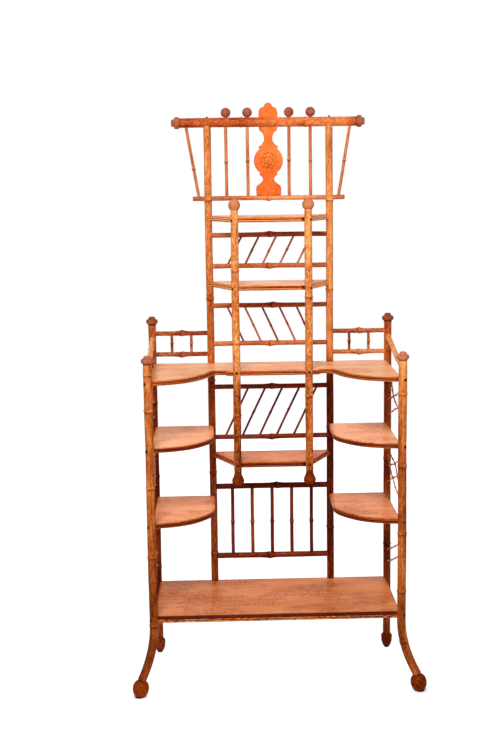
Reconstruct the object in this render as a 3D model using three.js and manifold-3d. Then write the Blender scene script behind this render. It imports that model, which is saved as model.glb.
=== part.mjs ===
// Bamboo etagere: a tall centre back with a raked gallery crest, two lower wings
// with quarter-round shelves, a hanging front bay and sabre front legs.
import * as THREE from 'three';
import { mergeVertices } from 'three/addons/utils/BufferGeometryUtils.js';
import Module from 'manifold-3d';

const wasm = await Module();
wasm.setup();

// Clearances
const fit = 0.3;
const overrun = 4;

// Plan of the posts: +X right, -Y to the front, Z up
const sidePostX = 360;
const centrePostX = 182;
const hangingPostX = 107;
const frontPostDepth = 325;
const hangingPostDepth = 156;

// Shelf levels: the top face of each board, stacked from the floor
const shelfThickness = 16;
const bottomShelfThickness = 20;
const bottomShelfTop = 231;
const lowerShelfRise = 276;
const middleShelfRise = 221.5;
const mainShelfRise = 193.5;
const lowerShelfTop = bottomShelfTop + lowerShelfRise;
const middleShelfTop = lowerShelfTop + middleShelfRise;
const mainShelfTop = middleShelfTop + mainShelfRise;
const hangingBayDrop = 278;
const middleBayRise = 250;
const upperBayRise = 198;
const lowerBayShelfTop = mainShelfTop - hangingBayDrop;
const middleBayShelfTop = mainShelfTop + middleBayRise;
const upperBayShelfTop = middleBayShelfTop + upperBayRise;

// Posts
const centrePostRadius = 11;
const backPostRadius = 11.5;
const frontPostRadius = 12.4;
const hangingPostRadius = 11.2;
const backPostRise = 119;
const frontPostRise = 45;
const hangingPostRise = 19;
const hangingPostReach = 26;
const backPostTop = mainShelfTop + backPostRise;
const frontPostTop = mainShelfTop + frontPostRise;
const hangingPostTop = upperBayShelfTop + hangingPostRise;
const hangingPostFoot = lowerBayShelfTop - hangingPostReach;

// Sabre sweep of the front legs, measured at the seat of the foot
const legStraight = 6;
const legBendHeight = bottomShelfTop - bottomShelfThickness - legStraight;
const legKickOut = 38;
const legKickForward = 26;
const frontFootSeat = 46.5;
const backFootSeat = 46;

// Rails: radius, and height of the axis from the shelf or rail below
const crestRailRadius = 14;
const crestRailHalf = 264;
const lowerCrestRadius = 7;
const lowerCrestHalf = 228;
const lowerCrestRise = 50.5;
const crestRise = 223.5;
const lowerCrestHeight = upperBayShelfTop + lowerCrestRise;
const crestRailHeight = lowerCrestHeight + crestRise;
const raked1Foot = 45.5;
const raked1Head = 43;
const raked1Bottom = middleBayShelfTop + raked1Foot;
const raked1Top = upperBayShelfTop - shelfThickness - raked1Head;
const raked2Foot = 59;
const raked2Head = 58.5;
const raked2Bottom = mainShelfTop + raked2Foot;
const raked2Top = middleBayShelfTop - shelfThickness - raked2Head;
const raked3Foot = 46.5;
const raked3Head = 58.5;
const raked3Bottom = lowerBayShelfTop + raked3Foot;
const raked3Top = mainShelfTop - shelfThickness - raked3Head;
const uprightFoot = 80;
const uprightRise = 222.5;
const uprightBottom = bottomShelfTop + uprightFoot;
const uprightTop = uprightBottom + uprightRise;
const rakedRailRadius = 7.3;
const uprightRailRadius = 8.7;
const wingRailFoot = 29;
const wingRailRise = 64;
const wingRailBottom = mainShelfTop + wingRailFoot;
const wingRailTop = wingRailBottom + wingRailRise;
const wingRailRadius = 6.8;

// Spindles
const crestSpindleRadius = 4.8;
const crestSpindleInnerX = 62;
const crestSpindleOuterX = 126;
const strutTopX = 246;
const strutBottomX = 209;
const strutRadius = 4.6;
const rakedSpindleRadius = 3.1;
const rakedSpindleSpacing = 52.5;
const raked1HalfRun = 23.5;
const raked2HalfRun = 26.5;
const raked3HalfRun = 37.5;
const uprightSpindleRadius = 4.9;
const uprightSpindleSpacing = 61.5;
const wingSpindleRadius = 4.2;
const spindlesInBay = 5;

// Ring joints of the bamboo
const postRing = { rise: 1.6, width: 8 };
const railRing = { rise: 1.9, width: 9 };
const spindleRing = { rise: 1.5, width: 6 };
const caneRing = { rise: 0.9, width: 4 };

// Dowels
const postDowelRadius = 5;
const postDowelDepth = 12;
const railDowelRadius = 4;
const railDowelDepth = 6;
const spindleDowelRadius = 2;
const spindleDowelDepth = 4;
const spindleSocketDepth = 4;
const dowelSeat = 2.5;

// Shelf plans
const shelfSideInset = 5;
const shelfFrontInset = 6;
const mainShelfBack = 6;
const bottomShelfBack = 4;
const wingShelfBack = -8;
const wingShelfInnerX = 178;
const wingTipDepth = 168;
const bayShelfBack = 3;
const bayShelfReach = 2;
const centreFrontHalf = 137;
const centreFrontDepth = 162;
const recessDepth = 145;
const recessEndX = 172;

// Split-bamboo edging
const edgingWidth = 10;
const edgingRise = 3.6;
const edgingFoot = 2.4;
const edgingBed = 0.6;
const bottomEdgingWidth = 13;
const bottomEdgingRise = 4.5;

// Side arms and cane lattice
const armRadius = 7.2;
const armBackDrop = 40;
const armFrontDrop = 18;
const armBackHeight = backPostTop - armBackDrop;
const armFrontHeight = frontPostTop - armFrontDrop;
const armSag = 13;
const caneRadius = 2;

// Turned caps, finials and feet
const capRadius = 17.8;
const capHeight = 27;
const ballRadius = 17.3;
const ballSeatRadius = 9.5;
const dropRadius = 18.4;
const dropHeight = 42;
const dropNeckRadius = 10;
const crestBallRadius = 14.6;
const crestBallSeatRadius = 6.5;
const endCapRadius = 17.5;
const endCapLength = 15;
const endButtonRadius = 11;
const endButtonLength = 9;
const frontFootRadius = 21.5;
const frontFootLength = 53;
const backFootRadius = 16.8;

// Crest splat
const splatThickness = 7;
const splatCrownHalf = 28;
const splatCrownHeight = 45;
const medallionRadius = 43.2;

// Facets
const postSides = 8;
const railSides = 8;
const crestSides = 10;
const spindleSides = 6;
const caneSides = 5;
const turnedSides = 12;
const ballSteps = 6;

const finishes = {
  culm: { color: 0xc8702c, roughness: 0.42, metalness: 0 },
  rail: { color: 0xb85e28, roughness: 0.45, metalness: 0 },
  spindle: { color: 0xbf6a36, roughness: 0.5, metalness: 0 },
  turned: { color: 0x9a5632, roughness: 0.45, metalness: 0 },
  splat: { color: 0xe07a34, roughness: 0.5, metalness: 0 },
  shelf: { color: 0xc98057, roughness: 0.4, metalness: 0 },
  edging: { color: 0xb0652f, roughness: 0.45, metalness: 0 },
  cane: { color: 0x8a5a34, roughness: 0.55, metalness: 0 },
};

const up = new THREE.Vector3(0, 0, 1);
const unitScale = new THREE.Vector3(1, 1, 1);
const at = (x, y, z) => new THREE.Vector3(x, y, z);

// Closed solid from a three.js geometry, its shared corners merged
function solidOf(geometry) {
  const bare = geometry.clone();
  bare.deleteAttribute('normal');
  bare.deleteAttribute('uv');
  const merged = mergeVertices(bare);
  const corners = merged.index.array;
  const triangles = [];
  for (let i = 0; i < corners.length; i += 3) {
    const [a, b, c] = corners.slice(i, i + 3);
    if (a !== b && b !== c && c !== a) triangles.push(a, b, c);
  }
  return new wasm.Manifold(new wasm.Mesh({
    numProp: 3,
    vertProperties: merged.attributes.position.array,
    triVerts: new Uint32Array(triangles),
  }));
}

function geometryOf(solid) {
  const mesh = solid.getMesh();
  const geometry = new THREE.BufferGeometry();
  geometry.setAttribute('position', new THREE.BufferAttribute(mesh.vertProperties, mesh.numProp));
  geometry.setIndex(new THREE.BufferAttribute(mesh.triVerts, 1));
  geometry.computeVertexNormals();
  return geometry;
}

// Turned profile of [radius, height] pairs about +Z
function turnedGeometry(profile, sides) {
  const points = profile.map(([radius, height]) => new THREE.Vector2(radius, height));
  return new THREE.LatheGeometry(points, sides).rotateX(Math.PI / 2);
}

const turned = (profile, sides) => solidOf(turnedGeometry(profile, sides));

// Moves a solid made along +Z to an origin and a direction
function along(solid, origin, direction) {
  const turn = new THREE.Quaternion().setFromUnitVectors(up, direction.clone().normalize());
  return solid.transform(new THREE.Matrix4().compose(origin, turn, unitScale).elements);
}

// Length of bamboo from zero to length, swelling at each ring joint
function culmProfile(radius, length, rings, ring) {
  const profile = [[0, 0], [radius, 0]];
  for (const height of rings) {
    profile.push([radius, height - ring.width / 2]);
    profile.push([radius + ring.rise, height]);
    profile.push([radius, height + ring.width / 2]);
  }
  profile.push([radius, length], [0, length]);
  return profile;
}

const culm = (radius, length, rings, ring, sides) => turned(culmProfile(radius, length, rings, ring), sides);

// Culm whose axis runs between two points
function culmBetween(start, end, radius, ringShares, ring, sides) {
  const span = end.clone().sub(start);
  const length = span.length();
  const rings = ringShares.map((share) => share * length);
  return along(culm(radius, length, rings, ring, sides), start, span);
}

// Round pin along a direction, between two distances from a point
function pin(radius, point, direction, start, end, sides) {
  const unit = direction.clone().normalize();
  const profile = [[0, 0], [radius, 0], [radius, end - start], [0, end - start]];
  return along(turned(profile, sides), point.clone().addScaledVector(unit, start), unit);
}

function box(lowX, highX, lowY, highY, lowZ, highZ) {
  const geometry = new THREE.BoxGeometry(highX - lowX, highY - lowY, highZ - lowZ);
  geometry.translate((lowX + highX) / 2, (lowY + highY) / 2, (lowZ + highZ) / 2);
  return solidOf(geometry);
}

// Board of an outline in plan, from its underside up
function board(outline, underside, thickness) {
  const shape = new THREE.Shape(outline.map(([x, y]) => new THREE.Vector2(x, y)));
  const geometry = new THREE.ExtrudeGeometry(shape, { depth: thickness, bevelEnabled: false });
  return solidOf(geometry.translate(0, 0, underside));
}

// Half-round strip along a path in plan; the outer side lies to the right of travel
function edging(path, underside, width, rise, bed) {
  const crownShares = [[0, 0], [0.87, 0.24], [0.87, 0.76], [0, 1]];
  const section = crownShares.map(([riseShare, widthShare]) => [riseShare * rise, widthShare * width]);
  const ribs = [[-bed, 0], ...section, [-bed, width]];
  const points = path.map(([x, y]) => new THREE.Vector2(x, y));
  const vertices = [];
  points.forEach((point, i) => {
    const before = point.clone().sub(points[Math.max(i - 1, 0)]).normalize();
    const after = points[Math.min(i + 1, points.length - 1)].clone().sub(point).normalize();
    if (i === 0) before.copy(after);
    if (i === points.length - 1) after.copy(before);
    const heading = before.clone().add(after).normalize();
    const mitre = 1 / heading.dot(after);
    for (const [offset, height] of ribs) {
      vertices.push(point.x + heading.y * offset * mitre);
      vertices.push(point.y - heading.x * offset * mitre);
      vertices.push(underside + height);
    }
  });
  const ribCount = ribs.length;
  const index = [];
  for (let i = 0; i + 1 < points.length; i += 1) {
    for (let k = 0; k < ribCount; k += 1) {
      const a = i * ribCount + k;
      const b = i * ribCount + (k + 1) % ribCount;
      index.push(a, a + ribCount, b, b, a + ribCount, b + ribCount);
    }
  }
  const last = (points.length - 1) * ribCount;
  for (let k = 1; k + 1 < ribCount; k += 1) {
    index.push(0, k, k + 1);
    index.push(last, last + k + 1, last + k);
  }
  const geometry = new THREE.BufferGeometry();
  geometry.setAttribute('position', new THREE.Float32BufferAttribute(vertices, 3));
  geometry.setIndex(index);
  return solidOf(geometry);
}

// Carries a geometry made along +Z onto a curved axis given by its place and heading
function bend(geometry, axis) {
  const position = geometry.attributes.position;
  const turn = new THREE.Quaternion();
  for (let i = 0; i < position.count; i += 1) {
    const { place, heading } = axis(position.getZ(i));
    turn.setFromUnitVectors(up, heading);
    const spoke = at(position.getX(i), position.getY(i), 0).applyQuaternion(turn);
    position.setXYZ(i, place.x + spoke.x, place.y + spoke.y, place.z + spoke.z);
  }
  return solidOf(geometry);
}

const group = new THREE.Group();
const assembly = new THREE.Group();
group.add(assembly);
const pieces = new Map();

function keep(name, solid, anchor, finish, family) {
  pieces.set(name, { solid, anchor, finish, family });
}

function cut(name, tool) {
  const piece = pieces.get(name);
  piece.solid = piece.solid.subtract(tool);
}

const sides = [['left', -1], ['right', 1]];

// Ring joints on each post, as shares of its length, and of the leg's bend from the floor up
const postRingShares = {
  centre_post_left: [0.063, 0.247, 0.452, 0.631, 0.829],
  centre_post_right: [0.118, 0.3445, 0.648, 0.823],
  back_post_left: [0.233, 0.526, 0.759, 0.981],
  back_post_right: [0.295, 0.569, 0.816, 0.969],
  front_post_left: [0.266, 0.534, 0.827, 0.962],
  front_post_right: [0.113, 0.3386, 0.5997, 0.8766],
  hanging_post_left: [0.218, 0.576, 0.773],
  hanging_post_right: [0.2905, 0.633, 0.8716],
};
const legRingShares = { left: 0.943, right: 0.59 };

// Straight posts: a bored lower end, the ringed culm and a dowel at each end
const posts = {};

function straightPost(name, x, y, radius, foot, top) {
  const inside = postRingShares[name].map((share) => share * (top - foot));
  const base = at(x, y, foot);
  const envelope = along(culm(radius + fit, top - foot, inside, postRing, postSides), base, up);
  const body = along(culm(radius, top - foot, inside, postRing, postSides), base, up);
  keep(name, body, base, 'culm', 'posts');
  posts[name] = { name, x, y, radius, envelope, foot, top };
}

const backFootEnd = backFootSeat;
for (const [side, s] of sides) {
  straightPost(`back_post_${side}`, s * sidePostX, 0, backPostRadius, backFootEnd, backPostTop);
  straightPost(`centre_post_${side}`, s * centrePostX, 0, centrePostRadius,
    bottomShelfTop + fit, crestRailHeight);
  straightPost(`hanging_post_${side}`, s * hangingPostX, -hangingPostDepth, hangingPostRadius,
    hangingPostFoot, hangingPostTop);
}

// Front posts run straight down past the bottom shelf, then sweep out and forward.
// Below the seat of the foot the axis goes straight on, so the dowel stays straight.
const bendSpan = legBendHeight - frontFootSeat;

function frontLegAxis(s) {
  const seatHeading = at(-s * 2 * legKickOut / bendSpan, 2 * legKickForward / bendSpan, 1).normalize();
  const seat = at(s * (sidePostX + legKickOut), -frontPostDepth - legKickForward, frontFootSeat);
  return (height) => {
    if (height >= legBendHeight) {
      return { place: at(s * sidePostX, -frontPostDepth, height), heading: up };
    }
    if (height <= frontFootSeat) {
      return { place: seat.clone().addScaledVector(seatHeading, height - frontFootSeat), heading: seatHeading };
    }
    const swept = (legBendHeight - height) / bendSpan;
    const slope = 2 * swept / bendSpan;
    return {
      place: at(s * (sidePostX + legKickOut * swept * swept),
        -frontPostDepth - legKickForward * swept * swept, height),
      heading: at(-s * legKickOut * slope, legKickForward * slope, 1).normalize(),
    };
  };
}

const legSteps = 6;

function frontPostProfile(side, grow) {
  const radius = frontPostRadius + grow;
  const legRing = frontFootSeat + legRingShares[side] * bendSpan;
  const profile = [[0, frontFootSeat], [radius, frontFootSeat]];
  for (let i = 1; i <= legSteps; i += 1) {
    const height = frontFootSeat + bendSpan * i / legSteps;
    if (Math.abs(height - legRing) > postRing.width) profile.push([radius, height]);
  }
  profile.push([radius, legRing - postRing.width / 2]);
  profile.push([radius + postRing.rise, legRing]);
  profile.push([radius, legRing + postRing.width / 2]);
  for (const share of postRingShares[`front_post_${side}`]) {
    const height = legBendHeight + share * (frontPostTop - legBendHeight);
    profile.push([radius, height - postRing.width / 2]);
    profile.push([radius + postRing.rise, height]);
    profile.push([radius, height + postRing.width / 2]);
  }
  profile.push([radius, frontPostTop], [0, frontPostTop]);
  const rim = profile.slice(1, -1).sort((a, b) => a[1] - b[1]);
  return [profile[0], ...rim, profile[profile.length - 1]];
}

for (const [side, s] of sides) {
  const name = `front_post_${side}`;
  const axis = frontLegAxis(s);
  const shape = (grow) => bend(turnedGeometry(frontPostProfile(side, grow), postSides), axis);
  keep(name, shape(0), at(s * sidePostX, -frontPostDepth, 0), 'culm', 'posts');
  posts[name] = {
    name, x: s * sidePostX, y: -frontPostDepth, radius: frontPostRadius, envelope: shape(fit),
    top: frontPostTop,
  };
}

function join(name, addition) {
  const piece = pieces.get(name);
  piece.solid = piece.solid.add(addition);
}

// Dowel standing on a post's top, and the turned piece that it carries
const dowelTop = (post) => pin(postDowelRadius, at(post.x, post.y, post.top), up,
  -dowelSeat, postDowelDepth, spindleSides);

// Profile of a socket that fits over a post's dowel, opening at zero
const socket = [
  [0, postDowelDepth + fit], [postDowelRadius + fit, postDowelDepth + fit], [postDowelRadius + fit, 0],
];

const capProfile = [
  ...socket,
  [0.65 * capRadius, 0],
  [0.72 * capRadius, 0.14 * capHeight],
  [0.97 * capRadius, 0.24 * capHeight],
  [capRadius, 0.36 * capHeight],
  [0.96 * capRadius, 0.5 * capHeight],
  [0.79 * capRadius, 0.56 * capHeight],
  [0.76 * capRadius, 0.72 * capHeight],
  [0.6 * capRadius, 0.9 * capHeight],
  [0.34 * capRadius, capHeight],
  [0, capHeight],
];

// Ball with a flat seat, from the seat up
function ballProfile(radius, seatRadius) {
  const seatAngle = Math.asin(seatRadius / radius);
  const profile = [];
  for (let i = 0; i <= ballSteps; i += 1) {
    const angle = seatAngle + (Math.PI - seatAngle) * i / ballSteps;
    profile.push([radius * Math.sin(angle), radius * (Math.cos(seatAngle) - Math.cos(angle))]);
  }
  profile[ballSteps][0] = 0;
  return profile;
}

for (const [side] of sides) {
  for (const place of ['back', 'front']) {
    const post = posts[`${place}_post_${side}`];
    const seat = at(post.x, post.y, post.top + fit);
    join(post.name, dowelTop(post));
    keep(`${place}_post_cap_${side}`, along(turned(capProfile, turnedSides), seat, up), seat, 'turned', 'turnings');
  }
  const hanging = posts[`hanging_post_${side}`];
  const crown = at(hanging.x, hanging.y, hanging.top + fit);
  join(hanging.name, dowelTop(hanging));
  keep(`ball_finial_${side}`,
    along(turned([...socket, ...ballProfile(ballRadius, ballSeatRadius)], turnedSides), crown, up),
    crown, 'turned', 'turnings');
  const tip = at(hanging.x, hanging.y, hanging.foot);
  const below = up.clone().negate();
  join(hanging.name, pin(postDowelRadius, tip, below, -dowelSeat, postDowelDepth, spindleSides));
  const drop = [
    ...socket,
    [dropNeckRadius, 0],
    [dropNeckRadius, 0.08 * dropHeight],
    [0.7 * dropRadius, 0.2 * dropHeight],
    [0.93 * dropRadius, 0.38 * dropHeight],
    [dropRadius, 0.58 * dropHeight],
    [0.9 * dropRadius, 0.78 * dropHeight],
    [0.6 * dropRadius, 0.93 * dropHeight],
    [0.2 * dropRadius, dropHeight],
    [0, dropHeight],
  ];
  const dropSeat = at(hanging.x, hanging.y, hanging.foot - fit);
  keep(`drop_finial_${side}`, along(turned(drop, turnedSides), dropSeat, below), dropSeat, 'turned', 'turnings');
}

// Egg feet: profile from the seat down, as shares of radius and length
const eggShares = [
  [0.62, 0], [0.8, 0.14], [0.96, 0.34], [1, 0.52], [0.93, 0.7], [0.72, 0.87], [0.4, 0.985], [0, 1],
];

function eggFoot(radius, length) {
  return turned([...socket, ...eggShares.map(([r, l]) => [r * radius, l * length])], turnedSides);
}

const floorReach = frontFootLength;

for (const [side, s] of sides) {
  const below = up.clone().negate();
  const back = posts[`back_post_${side}`];
  join(back.name, pin(postDowelRadius, at(back.x, back.y, back.foot), below, -dowelSeat,
    postDowelDepth, spindleSides));
  const backSeat = at(back.x, back.y, back.foot - fit);
  const floorCut = (x, y) => box(x - floorReach, x + floorReach, y - floorReach, y + floorReach, -floorReach, 0);
  keep(`back_foot_${side}`,
    along(eggFoot(backFootRadius, backFootSeat + overrun / 2), backSeat, below)
      .subtract(floorCut(back.x, back.y)), backSeat, 'turned', 'turnings');
  const front = posts[`front_post_${side}`];
  const { place, heading } = frontLegAxis(s)(frontFootSeat);
  const downLeg = heading.clone().negate();
  join(front.name, pin(postDowelRadius, place, downLeg, -dowelSeat, postDowelDepth, spindleSides));
  const frontSeat = place.clone().addScaledVector(downLeg, fit);
  keep(`front_foot_${side}`,
    along(eggFoot(frontFootRadius, frontFootLength), frontSeat, downLeg)
      .subtract(floorCut(frontSeat.x, frontSeat.y)), frontSeat, 'turned', 'turnings');
}

// Rails along X between two posts: coped ends and a dowel into each post
function crossRail(name, fromPost, toPost, height, radius, ringShares, fixed = []) {
  const start = at(fromPost.x, fromPost.y, height);
  const end = at(toPost.x, toPost.y, height);
  let body = culmBetween(start, end, radius, ringShares, railRing, railSides);
  for (const extra of fixed) body = body.add(extra);
  body = body.subtract(fromPost.envelope).subtract(toPost.envelope);
  const inward = end.clone().sub(start).normalize();
  for (const [post, point, heading] of [[fromPost, start, inward], [toPost, end, inward.clone().negate()]]) {
    const tip = post.radius - railDowelDepth;
    body = body.add(pin(railDowelRadius, point, heading, tip, post.radius + dowelSeat, spindleSides));
    cut(post.name, pin(railDowelRadius + fit, point, heading, tip - fit, post.radius + overrun, spindleSides));
  }
  keep(name, body, start, 'rail', 'galleries');
}

// Spindle fixed in one rail and let into a bored socket in the upper one
function letInSpindle(foot, head, radius, carrierName, carrierRadius) {
  const downward = foot.clone().sub(head).normalize();
  const seat = carrierRadius / Math.abs(downward.z);
  const tip = seat - spindleSocketDepth;
  cut(carrierName, pin(radius + fit, head, downward, tip - fit, seat + overrun, spindleSides));
  const end = head.clone().addScaledVector(downward, tip);
  return culmBetween(foot, end, radius, [0.5], spindleRing, spindleSides);
}

// Gallery of five spindles, fixed in the lower rail and let into the upper
function gallery(label, top, bottom, railRadius, spindleRadius, spacing, halfRun, upperShares, lowerShares) {
  const left = posts.centre_post_left;
  const right = posts.centre_post_right;
  crossRail(`${label}_upper_rail`, left, right, top, railRadius, upperShares);
  const spindles = [];
  for (let i = 0; i < spindlesInBay; i += 1) {
    const middle = (i - (spindlesInBay - 1) / 2) * spacing;
    const foot = at(middle - halfRun, 0, bottom);
    const head = at(middle + halfRun, 0, top);
    spindles.push(letInSpindle(foot, head, spindleRadius, `${label}_upper_rail`, railRadius));
  }
  crossRail(`${label}_lower_rail`, left, right, bottom, railRadius, lowerShares, spindles);
}

gallery('first_gallery', raked1Top, raked1Bottom, rakedRailRadius, rakedSpindleRadius,
  rakedSpindleSpacing, raked1HalfRun, [0.5], [0.49]);
gallery('second_gallery', raked2Top, raked2Bottom, rakedRailRadius, rakedSpindleRadius,
  rakedSpindleSpacing, -raked2HalfRun, [0.52], [0.5]);
gallery('third_gallery', raked3Top, raked3Bottom, rakedRailRadius, rakedSpindleRadius,
  rakedSpindleSpacing, raked3HalfRun, [0.505], [0.5]);
gallery('upright_gallery', uprightTop, uprightBottom, uprightRailRadius, uprightSpindleRadius,
  uprightSpindleSpacing, 0, [0.54], [0.47]);

// Wing galleries: two short rails and two upright spindles made up as one ladder
for (const [side, s] of sides) {
  const inner = posts[`centre_post_${side}`];
  const outer = posts[`back_post_${side}`];
  const [from, to] = s < 0 ? [outer, inner] : [inner, outer];
  const name = `wing_gallery_${side}`;
  const upper = culmBetween(at(from.x, 0, wingRailTop), at(to.x, 0, wingRailTop), wingRailRadius,
    [0.5], railRing, railSides);
  const rungs = [1, 2].map((third) => {
    const x = from.x + (to.x - from.x) * third / 3;
    return culmBetween(at(x, 0, wingRailBottom), at(x, 0, wingRailTop), wingSpindleRadius,
      [0.5], spindleRing, spindleSides);
  });
  crossRail(name, from, to, wingRailBottom, wingRailRadius, [0.5], [upper, ...rungs]);
  const piece = pieces.get(name);
  for (const [post, heading] of [[from, at(1, 0, 0)], [to, at(-1, 0, 0)]]) {
    const point = at(post.x, 0, wingRailTop);
    const tip = post.radius - railDowelDepth;
    piece.solid = piece.solid.add(pin(railDowelRadius, point, heading, tip, post.radius + dowelSeat, spindleSides));
    cut(post.name, pin(railDowelRadius + fit, point, heading, tip - fit, post.radius + overrun, spindleSides));
  }
}

// Crest: a stout top rail carried on the centre posts, a lighter rail through them
const right = at(1, 0, 0);
const crestEnd = at(-crestRailHalf, 0, crestRailHeight);
const crestRingShares = [0.345, 0.71];
const crestRings = crestRingShares.map((share) => share * 2 * crestRailHalf);
const crestCulm = (grow) => along(
  culm(crestRailRadius + grow, 2 * crestRailHalf, crestRings, railRing, crestSides), crestEnd, right);
const crestEnvelope = crestCulm(fit);
keep('crest_rail', crestCulm(0), crestEnd, 'rail', 'crest');

const lowerCrestEnd = at(-lowerCrestHalf, 0, lowerCrestHeight);
const lowerCrestFar = at(lowerCrestHalf, 0, lowerCrestHeight);
const lowerCrestEnvelope = culmBetween(lowerCrestEnd, lowerCrestFar, lowerCrestRadius + fit, [0.5],
  railRing, railSides);
keep('crest_lower_rail',
  culmBetween(lowerCrestEnd, lowerCrestFar, lowerCrestRadius, [0.5], railRing, railSides),
  lowerCrestEnd, 'rail', 'crest');

for (const [side, s] of sides) {
  const post = posts[`centre_post_${side}`];
  const crestPoint = at(post.x, 0, crestRailHeight);
  const below = up.clone().negate();
  const tip = crestRailRadius - postDowelDepth;
  cut(post.name, crestEnvelope);
  join(post.name, pin(postDowelRadius, crestPoint, below, tip, crestRailRadius + dowelSeat, spindleSides));
  cut('crest_rail', pin(postDowelRadius + fit, crestPoint, below, tip - fit,
    crestRailRadius + overrun, spindleSides));
  cut(post.name, lowerCrestEnvelope);
  cut(post.name, box(post.x - centrePostRadius - overrun, post.x + centrePostRadius + overrun,
    -centrePostRadius - overrun, centrePostRadius + overrun, bottomShelfTop - overrun, bottomShelfTop + fit));
  join(post.name, pin(postDowelRadius, at(post.x, 0, bottomShelfTop), below, -dowelSeat,
    postDowelDepth, spindleSides));

  // Raking strut outside the post, fixed in the lower rail and let into the top one
  const foot = at(s * strutBottomX, 0, lowerCrestHeight);
  const head = at(s * strutTopX, 0, crestRailHeight);
  join('crest_lower_rail', letInSpindle(foot, head, strutRadius, 'crest_rail', crestRailRadius));

  // Turned end of the top rail: a broad ring and a button
  const rim = at(s * crestRailHalf, 0, crestRailHeight);
  const outward = right.clone().multiplyScalar(s);
  join('crest_rail', pin(postDowelRadius, rim, outward, -dowelSeat, postDowelDepth, spindleSides));
  const endProfile = [
    ...socket,
    [0.9 * endCapRadius, 0],
    [endCapRadius, 0.2 * endCapLength],
    [endCapRadius, 0.8 * endCapLength],
    [0.9 * endCapRadius, endCapLength],
    [endButtonRadius, endCapLength],
    [endButtonRadius, endCapLength + 0.6 * endButtonLength],
    [0.6 * endButtonRadius, endCapLength + endButtonLength],
    [0, endCapLength + endButtonLength],
  ];
  const endSeat = rim.clone().addScaledVector(outward, fit);
  keep(`crest_end_cap_${side}`, along(turned(endProfile, turnedSides), endSeat, outward), endSeat, 'turned', 'crest');
}

// Four crest spindles pass up through the top rail and carry a ball each
const crestSpindleX = [-crestSpindleOuterX, -crestSpindleInnerX, crestSpindleInnerX, crestSpindleOuterX];
crestSpindleX.forEach((x, i) => {
  const foot = at(x, 0, lowerCrestHeight);
  const shoulder = at(x, 0, lowerCrestHeight + lowerCrestRadius + fit);
  const ballSeat = crestRailRadius + fit;
  const head = at(x, 0, crestRailHeight + ballSeat + crestBallRadius / 2);
  const stem = culmBetween(shoulder, head, crestSpindleRadius, [0.43], spindleRing, spindleSides);
  const ball = along(turned([[0, 0], ...ballProfile(crestBallRadius, crestBallSeatRadius)], turnedSides),
    at(x, 0, crestRailHeight + ballSeat), up);
  const tip = lowerCrestRadius - spindleDowelDepth;
  keep(`crest_spindle_${i + 1}`, stem.add(ball)
    .add(pin(spindleDowelRadius, foot, up, tip, lowerCrestRadius + dowelSeat, spindleSides)), foot, 'spindle', 'crest');
  cut('crest_lower_rail', pin(spindleDowelRadius + fit, foot, up, tip - fit,
    lowerCrestRadius + overrun, spindleSides));
  cut('crest_rail', pin(crestSpindleRadius + fit, at(x, 0, crestRailHeight), up,
    -crestRailRadius - overrun, crestRailRadius + overrun, spindleSides));
});

// Fretted splat: a narrow lobed crown above the top rail, a medallion below it.
// The crown's shares are of its half width and height, the body's of the medallion's
// radius and of the clear height between the rails.
const crownShares = [
  [1, 0], [0.99, 0.2], [0.97, 0.34], [0.9, 0.5], [0.8, 0.6], [0.72, 0.68], [0.6, 0.71], [0.44, 0.73],
  [0.4, 0.86], [0.26, 0.96], [0, 1],
];
const baseShares = [
  [0.74, 0], [0.84, 0.04], [0.84, 0.105], [0.76, 0.13], [0.56, 0.16], [0.44, 0.19], [0.375, 0.225],
  [0.42, 0.262], [0.52, 0.285], [0.64, 0.298], [0.585, 0.333],
];
const collarShares = [
  [0.585, 0.685], [0.7, 0.71], [0.55, 0.728], [0.4, 0.76], [0.3, 0.8], [0.285, 0.845], [0.33, 0.885],
  [0.42, 0.92], [0.6, 0.95],
];
const medallionHeightShare = 0.509;
const medallionSteps = 8;
const splatFoot = lowerCrestHeight + lowerCrestRadius + fit;
const splatRailUnderside = crestRailHeight - crestRailRadius;
const splatBody = splatRailUnderside - splatFoot;
const splatHalf = [];
for (const [width, height] of baseShares) {
  splatHalf.push([width * medallionRadius, splatFoot + height * splatBody]);
}
const [lowArcX, lowArcZ] = splatHalf[splatHalf.length - 1];
const medallionHeight = splatFoot + medallionHeightShare * splatBody;
const lowAngle = Math.atan2(lowArcX, lowArcZ - medallionHeight);
const highAngle = Math.atan2(collarShares[0][0] * medallionRadius,
  splatFoot + collarShares[0][1] * splatBody - medallionHeight);
for (let i = 1; i < medallionSteps; i += 1) {
  const angle = lowAngle + (highAngle - lowAngle) * i / medallionSteps;
  splatHalf.push([medallionRadius * Math.sin(angle), medallionHeight + medallionRadius * Math.cos(angle)]);
}
for (const [width, height] of collarShares) {
  splatHalf.push([width * medallionRadius, splatFoot + height * splatBody]);
}
splatHalf.push([splatCrownHalf, splatRailUnderside - fit]);
const crownFoot = crestRailHeight + crestRailRadius;
for (const [width, height] of crownShares) {
  splatHalf.push([width * splatCrownHalf, crownFoot + height * splatCrownHeight]);
}
const splatLeft = splatHalf.filter(([x]) => x > 0).map(([x, z]) => [-x, z]).reverse();
const splat = board([...splatHalf, ...splatLeft], -splatThickness / 2, splatThickness)
  .transform(new THREE.Matrix4().makeRotationX(Math.PI / 2).elements);
keep('crest_splat', splat, at(0, 0, splatFoot), 'splat', 'crest');
cut('crest_rail', box(-splatCrownHalf - fit, splatCrownHalf + fit, -splatThickness / 2 - fit,
  splatThickness / 2 + fit, crestRailHeight - crestRailRadius - overrun,
  crestRailHeight + crestRailRadius + overrun));
cut('crest_splat', lowerCrestEnvelope);

// Shelves
const shelfX = sidePostX - shelfSideInset;
const shelfFront = -frontPostDepth + shelfFrontInset;

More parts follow.
